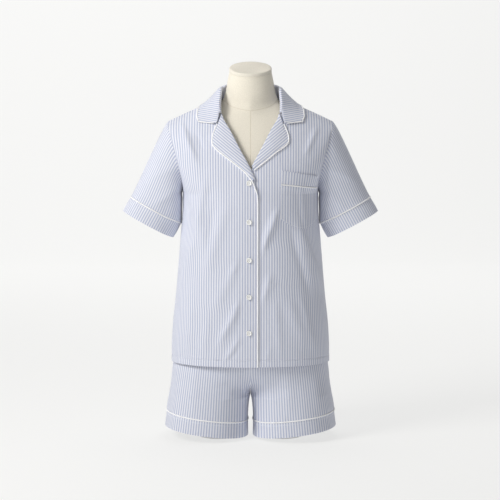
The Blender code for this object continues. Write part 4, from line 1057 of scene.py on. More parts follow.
def form_point(angle, z, grow=0.0):
    """Points of the form's surface, the angle being 0 in the middle of the front."""
    half, ahead, behind, power = spline(FORM_ROWS, z)
    s = np.sin(angle)
    c = np.cos(angle)
    x = (half + grow) * np.sign(s) * np.abs(s) ** (2 / power)
    deep = np.where(c > 0, ahead, behind) + grow
    y = -np.sign(c) * np.abs(c) ** (2 / power) * deep
    tilt = CAP_TILT * y * ease((z - TILT_Z) / TILT_TALL)
    return pack(x, y, z + tilt)


def form_ring(z, grow=0.0):
    return form_point(np.arange(FORM_TURNS) * 2 * math.pi / FORM_TURNS, z, grow)


def add_node(tree, kind, inputs=(), **settings):
    """A shader node with its settings, its inputs given as values or as outputs to link."""
    made = tree.nodes.new(kind)
    for key, value in settings.items():
        setattr(made, key, value)
    for key, value in dict(inputs).items():
        if isinstance(value, bpy.types.NodeSocket):
            tree.links.new(value, made.inputs[key])
        else:
            made.inputs[key].default_value = value
    return made


def maths(tree, operation, first, second=0.0):
    return add_node(tree, "ShaderNodeMath", {0: first, 1: second}, operation=operation).outputs[0]


def start_material(name, color, roughness, sheen=0.0, specular=0.3):
    """A material and its Principled shader, with the values that are even all over."""
    made = bpy.data.materials.new(name)
    made.use_nodes = True
    shader = made.node_tree.nodes["Principled BSDF"]
    shader.inputs["Base Color"].default_value = (*color, 1.0)
    shader.inputs["Roughness"].default_value = roughness
    shader.inputs["Sheen Weight"].default_value = sheen
    shader.inputs["Specular IOR Level"].default_value = specular
    return made, made.node_tree, shader


def color_steps(tree, factor, steps):
    """Colours along a ramp: position and colour of each step."""
    ramp = add_node(tree, "ShaderNodeValToRGB", {"Fac": factor})
    band = ramp.color_ramp.elements
    while len(band) < len(steps):
        band.new(0.5)
    for element, (position, color) in zip(band, steps):
        element.position = position
        element.color = (*color, 1.0)
    return ramp.outputs["Color"]


def bump(tree, shader, height):
    """Relief of a height given in metres."""
    inputs = {"Height": height, "Distance": 1.0, "Strength": 1.0}
    made = add_node(tree, "ShaderNodeBump", inputs)
    tree.links.new(made.outputs["Normal"], shader.inputs["Normal"])


def striped_cotton():
    """White cotton with soft blue woven stripes, a plain weave and slight rumples."""
    made, tree, shader = start_material("striped_cotton", COTTON_WHITE, 0.85, 0.15, 0.2)
    spot = add_node(tree, "ShaderNodeUVMap", uv_map="cloth").outputs[0]
    split = add_node(tree, "ShaderNodeSeparateXYZ", {0: spot})
    across = split.outputs[0]
    along = split.outputs[1]
    turn = maths(tree, "MULTIPLY", across, 2 * math.pi / STRIPE_PITCH)
    wave = maths(tree, "COSINE", turn)
    level = maths(tree, "MULTIPLY_ADD", wave, 0.5)
    level.node.inputs[2].default_value = 0.5
    fine = {"Vector": spot, "Scale": SLUB_SCALE, "Detail": 3.0}
    slub = add_node(tree, "ShaderNodeTexNoise", fine)
    uneven = maths(tree, "MULTIPLY_ADD", slub.outputs["Fac"], SLUB)
    tree.links.new(level, uneven.node.inputs[2])
    steps = ((0.30, COTTON_WHITE), (0.62, COTTON_MIDDLE), (0.90, COTTON_BLUE))
    tree.links.new(color_steps(tree, uneven, steps), shader.inputs["Base Color"])
    warp = maths(tree, "SINE", maths(tree, "MULTIPLY", across, 2 * math.pi / YARN_PITCH))
    weft = maths(tree, "SINE", maths(tree, "MULTIPLY", along, 2 * math.pi / YARN_PITCH))
    weave = maths(tree, "MULTIPLY", warp, weft)
    coarse = {"Vector": spot, "Scale": RUMPLE_SCALE, "Detail": 2.0}
    soft = add_node(tree, "ShaderNodeTexNoise", coarse)
    height = maths(tree, "MULTIPLY_ADD", soft.outputs["Fac"], RUMPLE)
    tree.links.new(maths(tree, "MULTIPLY", weave, YARN_HEIGHT), height.node.inputs[2])
    bump(tree, shader, height)
    return made


def plain_cloth(name, color, roughness, sheen, scale, height, spread=0.06):
    """Plain cloth with a fine uneven weave and a little variation of colour."""
    made, tree, shader = start_material(name, color, roughness, sheen, 0.25)
    spot = add_node(tree, "ShaderNodeTexCoord").outputs["Object"]
    grain = add_node(tree, "ShaderNodeTexNoise", {"Vector": spot, "Scale": scale, "Detail": 4.0})
    dark = tuple(part * (1 - spread) for part in color)
    light = tuple(min(1.0, part * (1 + spread)) for part in color)
    shade = color_steps(tree, grain.outputs["Fac"], ((0.35, dark), (0.65, light)))
    tree.links.new(shade, shader.inputs["Base Color"])
    yarns = []
    for way in ("X", "Z"):
        inputs = {"Vector": spot, "Scale": scale, "Distortion": YARN_WANDER}
        wave = add_node(tree, "ShaderNodeTexWave", inputs, bands_direction=way)
        yarns.append(wave.outputs["Fac"])
    weave = maths(tree, "ADD", *yarns)
    bump(tree, shader, maths(tree, "MULTIPLY_ADD", weave, height))
    return made


def simple(name, color, roughness, specular=0.3, scale=60.0, height=0.00005):
    """A smooth surface with the faintest unevenness."""
    made, tree, shader = start_material(name, color, roughness, 0.0, specular)
    spot = add_node(tree, "ShaderNodeTexCoord").outputs["Object"]
    grain = add_node(tree, "ShaderNodeTexNoise", {"Vector": spot, "Scale": scale})
    bump(tree, shader, maths(tree, "MULTIPLY", grain.outputs["Fac"], height))
    return made


# Linear colours of the surfaces.
COTTON_WHITE = (0.775, 0.785, 0.84)
COTTON_MIDDLE = (0.63, 0.65, 0.745)
COTTON_BLUE = (0.465, 0.505, 0.65)
# The weave: distance and height of the yarns, how much they wander in plain cloth, the uneven
# thickness that breaks up the stripes, and the slight rumples.
YARN_PITCH = 0.0008
YARN_HEIGHT = 0.00004
YARN_WANDER = 1.5
SLUB = 0.16
SLUB_SCALE = 260.0
RUMPLE = 0.0010
RUMPLE_SCALE = 34.0
COTTON = striped_cotton()
PIPING = plain_cloth("white_piping", (0.96, 0.96, 0.97), 0.55, 0.1, 900.0, 0.00003, 0.02)
THREAD = plain_cloth("thread", (0.80, 0.82, 0.88), 0.6, 0.1, 1500.0, 0.00003, 0.04)
LINEN = plain_cloth("form_linen", (0.83, 0.78, 0.67), 0.85, 0.2, 520.0, 0.00006, 0.04)
LINEN_SEAM = plain_cloth("form_linen_seam", (0.72, 0.66, 0.54), 0.85, 0.2, 520.0, 0.00006, 0.04)
CAP = plain_cloth("form_cap", (0.79, 0.745, 0.65), 0.8, 0.15, 520.0, 0.00005, 0.04)
BUTTON = simple("button", (0.88, 0.88, 0.86), 0.25, 0.5)
# Painted shade: the dark colour of the discs drawn where the buttons' holes are.
SHADE = simple("button_hole_painted_shade", (0.16, 0.16, 0.18), 0.6)
BLOCK = simple("display_block", (0.85, 0.85, 0.84), 0.6)
FLOOR = simple("floor", (0.22, 0.22, 0.217), 0.9, 0.1, 3.0, 0.0)
glow = FLOOR.node_tree.nodes["Principled BSDF"].inputs
glow["Emission Color"].default_value = (1.0, 1.0, 0.99, 1.0)
glow["Emission Strength"].default_value = FLOOR_GLOW
PANELS = {side: front_grid(side) for side in (-1, 1)}


def remove_along(steps, axis):
    """Steps between points with what runs along the axis taken out."""
    axis = np.asarray(axis, float)
    return steps - np.sum(steps * axis, axis=-1, keepdims=True) * axis


def flat_places(grid, axis=(0.0, 0.0, 1.0), ring=False, zero=None):
    """Flat cloth coordinates in metres: across the grain line, and along it."""
    closed = np.concatenate([grid, grid[:, :1]], axis=1) if ring else grid
    steps = np.linalg.norm(remove_along(np.diff(closed, axis=1), axis), axis=-1)
    across = np.cumsum(np.pad(steps, ((0, 0), (1, 0))), axis=1)
    if zero is not None:
        across = across - across[:, zero : zero + 1]
    rises = np.linalg.norm(np.diff(closed, axis=0), axis=-1)
    along = np.cumsum(np.pad(rises, ((1, 0), (0, 0))), axis=0)
    return np.stack([across, along], axis=-1)


def turned_out(points, faces):
    """True where the faces of a closed mesh point outwards."""
    p = points - points.mean(axis=0)
    a, b, c, d = (p[faces[:, n]] for n in range(4))
    volume = np.sum(a * np.cross(b, c)) + np.sum(a * np.cross(c, d))
    return volume > 0


def make_piece(name, points, faces, material, nodes, places=None):
    """A smooth mesh that rides on the root and stands for the named nodes."""
    points = np.asarray(points, float) + np.array([0.0, MIDDLE_Y, 0.0])
    mesh = bpy.data.meshes.new(name)
    mesh.from_pydata(points.tolist(), [], [list(face) for face in faces])
    if places is not None:
        layer = mesh.uv_layers.new(name="cloth")
        layer.data.foreach_set("uv", np.asarray(places, float).ravel())
    mesh.update()
    mesh.shade_smooth()
    mesh.set_sharp_from_angle(angle=SHARP_ANGLE)
    mesh.materials.append(material)
    piece = bpy.data.objects.new(name, mesh)
    bpy.context.scene.collection.objects.link(piece)
    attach(piece, "root")
    if nodes:
        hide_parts(*nodes)
    return piece


def shell(name, outer, inner, places, nodes, ring=False):
    """Thin cloth between two grids of points, with its flat places as coordinates."""
    rows, cols = outer.shape[:2]
    wide = places.shape[1]
    points = np.concatenate([outer.reshape(-1, 3), inner.reshape(-1, 3)])
    shift = rows * cols
    i, j = np.meshgrid(np.arange(rows - 1), np.arange(cols if ring else cols - 1), indexing="ij")
    i = i.ravel()
    j = j.ravel()
    k = (j + 1) % cols
    quads = np.stack([i * cols + j, i * cols + k, (i + 1) * cols + k, (i + 1) * cols + j], axis=-1)
    low = i * wide + j
    high = low + wide
    marks = np.stack([low, low + 1, high + 1, high], axis=-1)
    faces = [quads, quads[:, ::-1] + shift]
    where = [marks, marks[:, ::-1]]
    j = np.arange(cols if ring else cols - 1)
    k = (j + 1) % cols
    top = (rows - 1) * cols
    high = (rows - 1) * wide + j
    faces.append(np.stack([k, j, shift + j, shift + k], axis=-1))
    where.append(np.stack([j + 1, j, j, j + 1], axis=-1))
    faces.append(np.stack([top + j, top + k, shift + top + k, shift + top + j], axis=-1))
    where.append(np.stack([high, high + 1, high + 1, high], axis=-1))
    if not ring:
        i = np.arange(rows - 1)
        a = i * cols
        b = a + cols
        faces.append(np.stack([a, b, shift + b, shift + a], axis=-1))
        where.append(np.stack([a, b, b, a], axis=-1))
        a = a + cols - 1
        b = b + cols - 1
        faces.append(np.stack([b, a, shift + a, shift + b], axis=-1))
        where.append(np.stack([b, a, a, b], axis=-1))
    faces = np.concatenate(faces)
    where = np.concatenate(where)
    if not turned_out(points, faces):
        faces = faces[:, ::-1]
        where = where[:, ::-1]
    spots = places.reshape(-1, 2)[where.ravel()]
    return make_piece(name, points, faces, COTTON, nodes, spots)


def tube_mesh(path, radius, sides, ring=False, up=(0.0, -1.0, 0.0)):
    """Points and faces of a round cord along a path."""
    count = len(path)
    if ring:
        ahead = unit(np.roll(path, -1, axis=0) - np.roll(path, 1, axis=0))
    else:
        ahead = unit(np.gradient(path, axis=0))
    up = np.broadcast_to(np.asarray(up, float), path.shape)
    side = unit(np.cross(ahead, up))
    top = np.cross(side, ahead)
    angle = np.arange(sides) * 2 * math.pi / sides
    spoke = np.cos(angle)[None, :, None] * side[:, None] + np.sin(angle)[None, :, None] * top[:, None]
    points = (path[:, None] + radius * spoke).reshape(-1, 3)
    faces = []
    for k in range(count if ring else count - 1):
        m = (k + 1) % count
        for a in range(sides):
            b = (a + 1) % sides
            faces.append((k * sides + b, k * sides + a, m * sides + a, m * sides + b))
    if not ring:
        faces.append(tuple(range(sides)))
        faces.append(tuple((count - 1) * sides + a for a in reversed(range(sides))))
    return points, faces


def cord(name, path, nodes, ring=False, up=(0.0, -1.0, 0.0)):
    points, faces = tube_mesh(np.asarray(path, float), CORD_RADIUS, CORD_SIDES, ring, up)
    return make_piece(name, points, faces, PIPING, nodes)


def thread(name, path, radius, up, ring=False):
    points, faces = tube_mesh(path, radius, CORD_SIDES, ring, up)
    return make_piece(name, points, faces, THREAD, ())


def stitches(name, lines):
    """Rows of small raised stitches: each line is points and normals, evenly walked."""
    points = []
    faces = []
    for path, normal in lines:
        steps = np.linalg.norm(np.diff(path, axis=0), axis=-1)
        walked = np.concatenate([[0.0], np.cumsum(steps)])
        starts = np.arange(STITCH_GAP, walked[-1] - STITCH_LONG, STITCH_LONG + STITCH_GAP)
        for start in starts:
            ends = []
            for at in (start, start + STITCH_LONG):
                spot = [np.interp(at, walked, path[:, n]) for n in range(3)]
                out = unit(np.array([np.interp(at, walked, normal[:, n]) for n in range(3)]))
                ends.append((np.array(spot), out))
            ahead = unit(ends[1][0] - ends[0][0])
            base = len(points)
            for spot, out in ends:
                side = np.cross(ahead, out) * STITCH_WIDE / 2
                points += [spot - side - out * STITCH_SINK, spot + side - out * STITCH_SINK]
                side = side * STITCH_TAPER
                points += [spot + side + out * STITCH_HIGH, spot - side + out * STITCH_HIGH]
            for a, b in ((0, 1), (1, 2), (2, 3), (3, 0)):
                faces.append((base + a, base + b, base + 4 + b, base + 4 + a))
            faces.append((base + 3, base + 2, base + 1, base))
            faces.append((base + 4, base + 5, base + 6, base + 7))
    return make_piece(name, points, faces, THREAD, ())


def front_arc(levels, first):
    """Signed distance round the body from the middle to each row's first point."""
    angle = first[:, None] * np.linspace(0, 1, 9)[None, :]
    steps = np.diff(plain_point(-1, angle, levels[:, None]), axis=1)
    return np.sign(first) * np.sum(np.linalg.norm(remove_along(steps, (0, 0, 1)), axis=-1), axis=1)


def panel_places(side):
    grid = PANELS[side][0]
    start = front_arc(LEVELS, start_angles(LEVELS))
    places = flat_places(grid)
    places[..., 0] += start[:, None]
    return places


def hem_rise(levels):
    """How far the turned-up hem stands out, with a dent along its stitches."""
    fold = HEM_RISE * ease((HEM_LEVEL - levels) / HEM_DENT_WIDE)
    return (fold - HEM_DENT * np.exp(-(((levels - HEM_LEVEL) / HEM_DENT_WIDE) ** 2)))[:, None, None]


def front(label, side):
    outer, normal = (field.copy() for field in PANELS[side])
    outer = outer + normal * hem_rise(LEVELS)
    outer[LEVELS <= 0, -1, 1] = -HALF_SEAM
    outer[-1, :, 1] = -HALF_SEAM
    inward = -normal
    inward[:, -1] = rim_directions(LEVELS, side)
    inward[-1, :-1] = (0.0, 0.0, -1.0)
    name = f"cloth_front_{label}"
    return shell(name, outer, outer + THIN * inward, panel_places(side), [f"front_{label}"])


def back_panel():
    cols = 2 * FRONT_COLS - 1
    angle = np.linspace(-math.pi / 2, math.pi / 2, cols)[None, :] * np.ones((len(LEVELS), 1))
    here, normal = body_point(1, 1, angle, LEVELS[:, None])
    here = here + normal * hem_rise(LEVELS)
    inward = -normal
    rims = rim_directions(LEVELS, 1)
    hole_back = spline(ARMHOLE_ROWS, np.maximum(LEVELS, 0))[2]
    for column, sign in ((0, -1), (-1, 1)):
        here[LEVELS <= 0, column, 1] = HALF_SEAM
        turned = rims.copy()
        turned[:, 0] *= sign
        turned[:, 1] = -hole_back / ARMHOLE_DEEP
        turned = unit(turned)
        turned[LEVELS < 0] = (-sign, 0.0, 0.0)
        inward[:, column] = turned
    here[-1, :, 1] = np.maximum(here[-1, :, 1], HALF_SEAM)
    inward[-1, 1:-1] = (0.0, 0.0, -1.0)
    places = flat_places(here, zero=cols // 2)
    return shell("cloth_back", here, here + THIN * inward, places, ["back"])


def closer(points, side):
    """The sleeve's lower inner side moved towards the body, which it touches when worn."""
    low = ease((CLOSE_Z - points[..., 2]) / CLOSE_TALL)
    near = ease((CLOSE_X - points[..., 0] * side) / CLOSE_WIDE)
    points[..., 0] -= side * CLOSE_BY * low * near
    return points


def sleeve(label, side):
    steps = np.linspace(0, 1, SLEEVE_ROWS)
    grid, rims = sleeve_rings(side, steps)
    inward = -grid_normals(grid, ring=True)
    middle = grid.mean(axis=1, keepdims=True)
    inward = inward * np.sign(np.sum(inward[3:] * (middle - grid)[3:]))
    round_it = np.concatenate([UPPER, 2 - UPPER[-2:0:-1]])
    across = round_it[None, :] * SLEEVE_ROUND
    down = steps[:, None] * SLEEVE_DOWN
    rise = fold_height(SLEEVE_FOLDS, side, across, down)
    start_fade, end_fade = SLEEVE_FADE
    rise = rise * ease(steps / start_fade)[:, None] * ease((1 - steps) / end_fade)[:, None]
    grid = closer(grid - inward * rise[..., None], side)
    inward[0] = rims
    places = flat_places(grid, sleeve_axis(side), ring=True, zero=len(UPPER) // 2)
    places[..., 0] *= SLEEVE_SPREAD
    name = f"cloth_sleeve_{label}"
    return shell(name, grid, grid + THIN * inward, places, [f"sleeve_{label}"], ring=True)


def cuff(label, side):
    _, _, share, back = armhole_loop(side)
    outer = []
    inner = []
    for t in np.linspace(0, 1, 10):
        along = CUFF_START + CUFF_TALL * t
        swell = -CUFF_FLARE * t - CUFF_SWELL * math.sin(math.pi * t)
        outer.append(cuff_ring(side, share, back, along, swell))
        inner.append(cuff_ring(side, share, back, along, BAND + swell))
    axis = sleeve_axis(side)
    outer = closer(np.array(outer), side)
    inner = closer(np.array(inner), side)
    places = flat_places(outer, axis, ring=True, zero=len(UPPER) // 2)
    places[..., 0] *= CUFF_SPREAD
    shell(f"cloth_cuff_{label}", outer, inner, places, [f"cuff_{label}"], ring=True)
    path = closer(cuff_ring(side, share, back, CUFF_CORD_STEP, -CORD_STAND), side)
    cord(f"cord_cuff_{label}", path, [f"cuff_piping_{label}"], ring=True, up=axis)


def thick(name, middle, width, places, nodes):
    normal = grid_normals(middle)
    outer = middle + normal * width / 2
    return shell(name, outer, middle - normal * width / 2, places, nodes)


def lapel(label, side, table):
    middle = lapel_grid(side, table, np.linspace(0, 1, LAPEL_ROWS), SHARES)
    middle[:, -1] = beyond(middle, LAPEL_REACH)
    x = middle[..., 0] * side
    z = middle[..., 2]
    turn = LAPEL_STRIPE
    across = z * math.cos(turn) - x * math.sin(turn)
    along = x * math.cos(turn) + z * math.sin(turn)
    places = np.stack([across * LAPEL_SPREAD, along], axis=-1)
    return thick(f"cloth_lapel_{label}", middle, CLOTH, places, [f"lapel_{label}"])


def smoothed(path):
    """A path with its kinks rounded and its ends kept."""
    path = path.copy()
    for _ in range(CORD_PASSES):
        path[1:-1] = (path[:-2] + 2 * path[1:-1] + path[2:]) / 4
    return path


def front_cord():
    """The cord up the right front's edge and on round its lapel."""
    heights = np.linspace(HEM_Z, STRAIGHT_TOP, STRAIGHT_STEPS)
    edge, normal = on_front(-1, -LAP, heights)
    straight = edge - normal * STRAIGHT_SINK
    straight[:, 0] += SEAM + PIPE
    rows = [(k, *row) for k, row in enumerate(BREAK_ROWS)]
    x, z, out, aside = spline(rows, np.linspace(0, len(rows) - 1, BREAK_STEPS))
    turn = on_front(-1, x, z, out)[0]
    turn[:, 0] += aside
    round_it = lapel_edge(-1, LAPEL_RIGHT, np.linspace(0, 1, LAPEL_ROWS))
    path = np.concatenate([straight, turn, round_it])
    cord("cord_front_right", smoothed(path), ["front_piping_right"])


def lapel_cord():
    path = lapel_edge(1, LAPEL_LEFT, np.linspace(0, 1, LAPEL_ROWS))
    cord("cord_lapel_left", path, ["lapel_piping_left"])


def collar_places(half):
    """Flat places of half the collar: round the neck first, then by height in front."""
    steps = np.linalg.norm(np.diff(half[:, FOLD_COLUMN:], axis=0), axis=-1).mean(axis=1)
    run = np.cumsum(np.concatenate([[0.0], steps]))[:, None]
    tilt = math.radians(CAMERA_UP)
    high = half[..., 2] * math.cos(tilt) + half[..., 1] * math.sin(tilt)
    fall = high * math.cos(COLLAR_LEAN) - half[..., 0] * math.sin(COLLAR_LEAN)
    meeting = round(COLLAR_MEETING * (len(half) - 1))
    fallen = (fall[meeting, FOLD_COLUMN] - fall) * COLLAR_SPREAD + run[meeting]
    turned = ease((COLLAR_SHARES - COLLAR_TURN_START) / COLLAR_TURN_LONG)[:, None]
    across = run * (1 - turned) + fallen * turned
    widths = np.linalg.norm(np.diff(half, axis=1), axis=-1)
    along = np.cumsum(np.pad(widths, ((0, 0), (1, 0))), axis=1)
    return np.stack([across, along], axis=-1)


def collar():
    half = collar_half(COLLAR_SHARES, FALLS)
    middle = both_sides(half)
    thick("cloth_collar", middle, BAND, both_sides(collar_places(half)), ["collar"])
    reach = COLLAR_CORD_STEP
    edge = beyond(half, reach)
    ends = half[-1] + unit(half[-1] - half[-2]) * reach
    down = unit(half[-1, -1] - half[-1, -2])
    ahead = unit(half[-1, -1] - half[-2, -1])
    corner = half[-1, -1] + unit(down + ahead) * reach * CORNER_REACH
    last = np.searchsorted(FALLS, CORD_END_FALL) - len(FALLS)
    path = np.concatenate([edge[:-2], corner[None], ends[-4:last:-2]])
    cord("cord_collar", both_sides(path), ["collar_piping"], up=(0.0, -0.6, 0.8))


def pocket_patch(top, foot, drop, out, width, rows):
    """A patch on the left chest between two tables of heights, and its places."""
    angle, level = locate(-1, np.array((POCKET_LEFT, POCKET_RIGHT)), POCKET_MIDDLE[1])
    first = start_angles(level)
    left, right = (angle - first) / (math.pi / 2 - first)
    across = np.linspace(0, 1, POCKET_COLS)
    high = locate(-1, POCKET_MIDDLE[0], spline(top, across)[0] - drop)[1]
    low = locate(-1, POCKET_MIDDLE[0], spline(foot, across)[0])[1]
    level = low + (high - low) * np.linspace(0, 1, rows)[:, None]
    leaning = np.broadcast_to(left + (right - left) * across, level.shape)
    z = on_panel(1, leaning, level)[0][..., 2]
    x = np.broadcast_to(POCKET_LEFT + (POCKET_RIGHT - POCKET_LEFT) * across, z.shape)
    angle, upright_level = locate(-1, x, z)
    first = start_angles(upright_level)
    upright = (angle - first) / (math.pi / 2 - first)
    share = leaning + (upright - leaning) * POCKET_UPRIGHT
    level = level + (upright_level - level) * POCKET_UPRIGHT
    inner = on_panel(1, share, level, out)[0]
    outer, normal = on_panel(1, share, level, out + width)
    return outer, inner, normal


def pocket_places(outer):
    """Flat places whose stripes carry on those of the front below."""
    places = flat_places(outer)
    places[..., 0] = places[..., 0] * POCKET_SPREAD + POCKET_START
    return places


def pocket():
    low = (POCKET_LINE, POCKET_FOOT, POCKET_GAP, POCKET_LIFT, POCKET_CLOTH, 60)
    outer, inner, normal = pocket_patch(*low)
    shell("cloth_pocket", outer, inner, pocket_places(outer), ["pocket"])
    sides = [(outer[:, 1:3].mean(axis=1), normal[:, 1])]
    sides.append((outer[1:3].mean(axis=0), normal[1]))
    sides.append((outer[::-1, -3:-1].mean(axis=1), normal[::-1, -2]))
    outer, inner, normal = pocket_patch(POCKET_TOP, POCKET_LINE, 0.0, POCKET_LIFT, POCKET_BAND, 20)
    shell("cloth_pocket_band", outer, inner, pocket_places(outer), ["pocket_band"])
    sides.append((outer[:, 1:3].mean(axis=1), normal[:, 1]))
    sides.append((outer[:, -3:-1].mean(axis=1), normal[:, -2]))
    stitches("stitches_pocket", sides)
    line = pocket_patch(POCKET_LINE, POCKET_FOOT, POCKET_GAP / 2, POCKET_CORD_LIFT, 0.0, 4)[0]
    cord("cord_pocket", line[-1], ["pocket_piping"])


def button_mesh():
    """One button's mesh: a rimmed disc turned from its outline."""
    shape = bmesh.new()
    corners = [shape.verts.new((radius, 0.0, height)) for radius, height in BUTTON_OUTLINE]
    edges = [shape.edges.new(pair) for pair in zip(corners, corners[1:])]
    bmesh.ops.spin(
        shape,
        geom=corners + edges,
        cent=(0.0, 0.0, 0.0),
        axis=(0.0, 0.0, 1.0),
        angle=2 * math.pi,
        steps=BUTTON_TURNS,
        use_merge=True,
    )
    bmesh.ops.remove_doubles(shape, verts=shape.verts, dist=MERGE)
    bmesh.ops.recalc_face_normals(shape, faces=shape.faces)
    mesh = bpy.data.meshes.new("button")
    shape.to_mesh(mesh)
    shape.free()
    mesh.shade_smooth()
    mesh.set_sharp_from_angle(angle=SHARP_ANGLE)
    mesh.materials.append(BUTTON)
    return mesh


def buttons():
    """The five buttons with their holes as dark discs of painted shade, the thread through their holes
    and the worked holes under them.
    """
    mesh = button_mesh()
    for k, z in enumerate(BUTTON_Z):
        centre, normal = on_front(-1, np.array(-BUTTON_X), np.array(z))
        place = centre + normal * BUTTON_LIFT + np.array([0.0, MIDDLE_Y, 0.0])
        turn = Vector(normal).to_track_quat("Z", "Y")
        piece = bpy.data.objects.new(f"disc_button_{k + 1}", mesh)
        bpy.context.scene.collection.objects.link(piece)
        piece.location = place
        piece.rotation_euler = turn.to_euler()
        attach(piece, "root")
        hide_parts(f"button_{k + 1}")
        side = unit(np.cross((0.0, 0.0, 1.0), normal))
        up = np.cross(normal, side)
        seat = centre + normal * (BUTTON_LIFT + BUTTON_FACE)
        dark = []
        for across in (-HOLE_STEP, HOLE_STEP):
            for high in (-HOLE_STEP, HOLE_STEP):
                dark.append(seat + side * across + up * high)
        holes(f"hole_shade_button_{k + 1}", dark, normal, side, up)
        worked_hole(f"buttonhole_{k + 1}", z)
        bow = np.sin(np.linspace(0, math.pi, THREAD_STEPS))[:, None] * normal * THREAD_BOW
        for n in (0, 1):
            path = np.linspace(dark[2 * n], dark[2 * n + 1], THREAD_STEPS) + bow
            thread(f"thread_{k + 1}_{n + 1}", path, THREAD_RADIUS, normal)


def holes(name, centres, normal, side, up):
    """Small dark discs in the face of a button: painted shade where its holes are."""
    points = []
    faces = []
    for centre in centres:
        faces.append(tuple(range(len(points), len(points) + HOLE_TURNS)))
        for k in range(HOLE_TURNS):
            a = 2 * math.pi * k / HOLE_TURNS
            spoke = math.cos(a) * side + math.sin(a) * up
            points.append(centre + spoke * HOLE_RADIUS + normal * HOLE_LIFT)
    make_piece(name, points, faces, SHADE, ())


def worked_hole(name, z):
    """The stitched rim of an upright buttonhole, of which the ends show."""
    turns = np.linspace(0, 2 * math.pi, RIM_STEPS, endpoint=False)
    x = -BUTTON_X + HOLE_HALF_WIDE * np.cos(turns)
    high = z + HOLE_HALF_TALL * np.sin(turns)
    path, normal = on_front(-1, x, high, RIM_LIFT)
    thread(name, path, RIM_RADIUS, normal, ring=True)


def fan_places(grid, ring=False):
    """Flat places whose stripes are straight lines that fan out downwards."""
    x, y = arc(np.linspace(0, 1, FAN_STEPS), *FAN_SECTION)
    walked = np.concatenate([[0.0], np.cumsum(np.hypot(np.diff(x), np.diff(y)))])
    spread = 1 + FAN_RATE * (FAN_Z - grid[:, FAN_COLUMNS[1], 2])[:, None]
    places = flat_places(grid, ring=ring)
    round_it = places[..., 0] / spread
    facing = np.interp(np.abs(grid[..., 0]) / spread, x, walked)
    across = round_it.copy()
    first, last = FAN_COLUMNS
    shift = facing - round_it[:, : grid.shape[1]]
    across[:, :first] += shift[:, first, None]
    across[:, last:] += shift[:, last, None]
    across[:, first:last] = facing[:, first:last]
    places[..., 0] = across * FAN_SPREAD
    return places


def shorts_panel(label, side, face):
    grid, joins = shorts_grid(face)
    grid[:, 0, 0] = np.maximum(grid[:, 0, 0], HALF_SEAM)
    grid[:, 0, 1] = face * np.maximum(face * grid[:, 0, 1], HALF_SEAM)
    grid[:, -1, 1] = face * HALF_SEAM
    inward = grid_normals(grid)
    middle = np.array([LEG_MIDDLE, 0.0, 0.0])
    turned = np.sum(inward[2:20] * (middle - grid[2:20]) * np.array([1, 1, 0]))
    inward = inward * (1 if turned > 0 else -1)
    share = np.linspace(0, 1, SHORTS_COLS)
    edge = ease(share / SHORTS_SIDE_FADE) * ease((1 - share) / SHORTS_SIDE_FADE)
    low = ease((grid[..., 2] - SHORTS_FADE_Z) / SHORTS_FADE_TALL)
    table = SHORTS_FRONT_FOLDS if face < 0 else SHORTS_BACK_FOLDS
    rise = fold_height(table, side, grid[..., 0], grid[..., 2]) * edge * low
    grid = grid - inward * rise[..., None]
    inward[:, -1] = (-1.0, 0.0, 0.0)
    for k, joined in enumerate(joins):
        if joined > 1:
            inward[k, 0] = (1.0, 0.0, 0.0)
        else:
            inward[k, 0] = (0.0, -face * math.sqrt(1 - joined**2), joined)
    inward[0, :, 2] = 0.0
    inner = grid + THIN * unit(inward)
    grid[..., 0] *= side
    inner[..., 0] *= side
    name = f"shorts_{'front' if face < 0 else 'back'}_{label}"
    return shell(f"cloth_{name}", grid, inner, fan_places(grid), [name])


def leg_trim(label, side):
    top = LEG_Z[-1]
    path = leg_ring(side, top - SEAM - PIPE, -CORD_STAND)
    up = (-HEM_SLOPE * side, 0.0, 1.0)
    cord(f"cord_leg_{label}", path, [f"leg_piping_{label}"], ring=True, up=up)
    start = top - 2 * SEAM - 2 * PIPE
    heights = np.linspace(start, LEG_HEM_Z, 14)
    outer = np.array([leg_ring(side, z, 0.0) for z in heights])
    inner = np.array([leg_ring(side, z, BAND) for z in heights])
    places = fan_places(outer, ring=True)
    shell(f"cloth_leg_band_{label}", outer, inner, places, [f"leg_band_{label}"], ring=True)
    line = leg_ring(side, start - LEG_STITCH_DROP, -LEG_STITCH_OUT)
    normal = line - line.mean(axis=0)
    normal[:, 2] = 0.0
    stitches(f"stitches_leg_{label}", [(line, unit(normal))])


def edge_stitches():
    """Stitching beside the right front's edge and round the top's hem."""
    heights = np.linspace(HEM_Z + STITCH_END, STITCH_TOP, 200)
    lines = [on_front(-1, -STITCH_X, heights)]
    for side in (-1, 1):
        share = np.linspace(*STITCH_SHARES, 160)
        level = np.full(share.shape, locate(-1, HEM_STITCH_X, HEM_Z + HEM_STITCH)[1])
        lines.append(on_panel(side, share, level))
    angle = np.linspace(-STITCH_ANGLE, STITCH_ANGLE, 300)
    level = np.full(angle.shape, locate(1, HEM_STITCH_X, HEM_Z + HEM_STITCH)[1])
    lines.append(body_point(1, 1, angle, level))
    stitches("stitches_top", lines)


def rings_piece(name, rings, material, nodes):
    """A closed body through rings, with flat ends."""
    rings = np.asarray(rings)
    count, turns = rings.shape[:2]
    faces = [tuple(reversed(range(turns)))]
    for r in range(count - 1):
        for k in range(turns):
            m = (k + 1) % turns
            a = r * turns
            b = a + turns
            faces.append((a + k, a + m, b + m, b + k))
    faces.append(tuple((count - 1) * turns + k for k in range(turns)))
    return make_piece(name, rings.reshape(-1, 3), faces, material, nodes)


def form_line(name, angles, heights):
    """A seam on the form: a fine ridge along its surface."""
    path = form_point(angles, heights)
    points, faces = tube_mesh(path, FORM_SEAM, 6, up=(0.03, -0.2, 1.0))
    make_piece(name, points, faces, LINEN_SEAM, ())


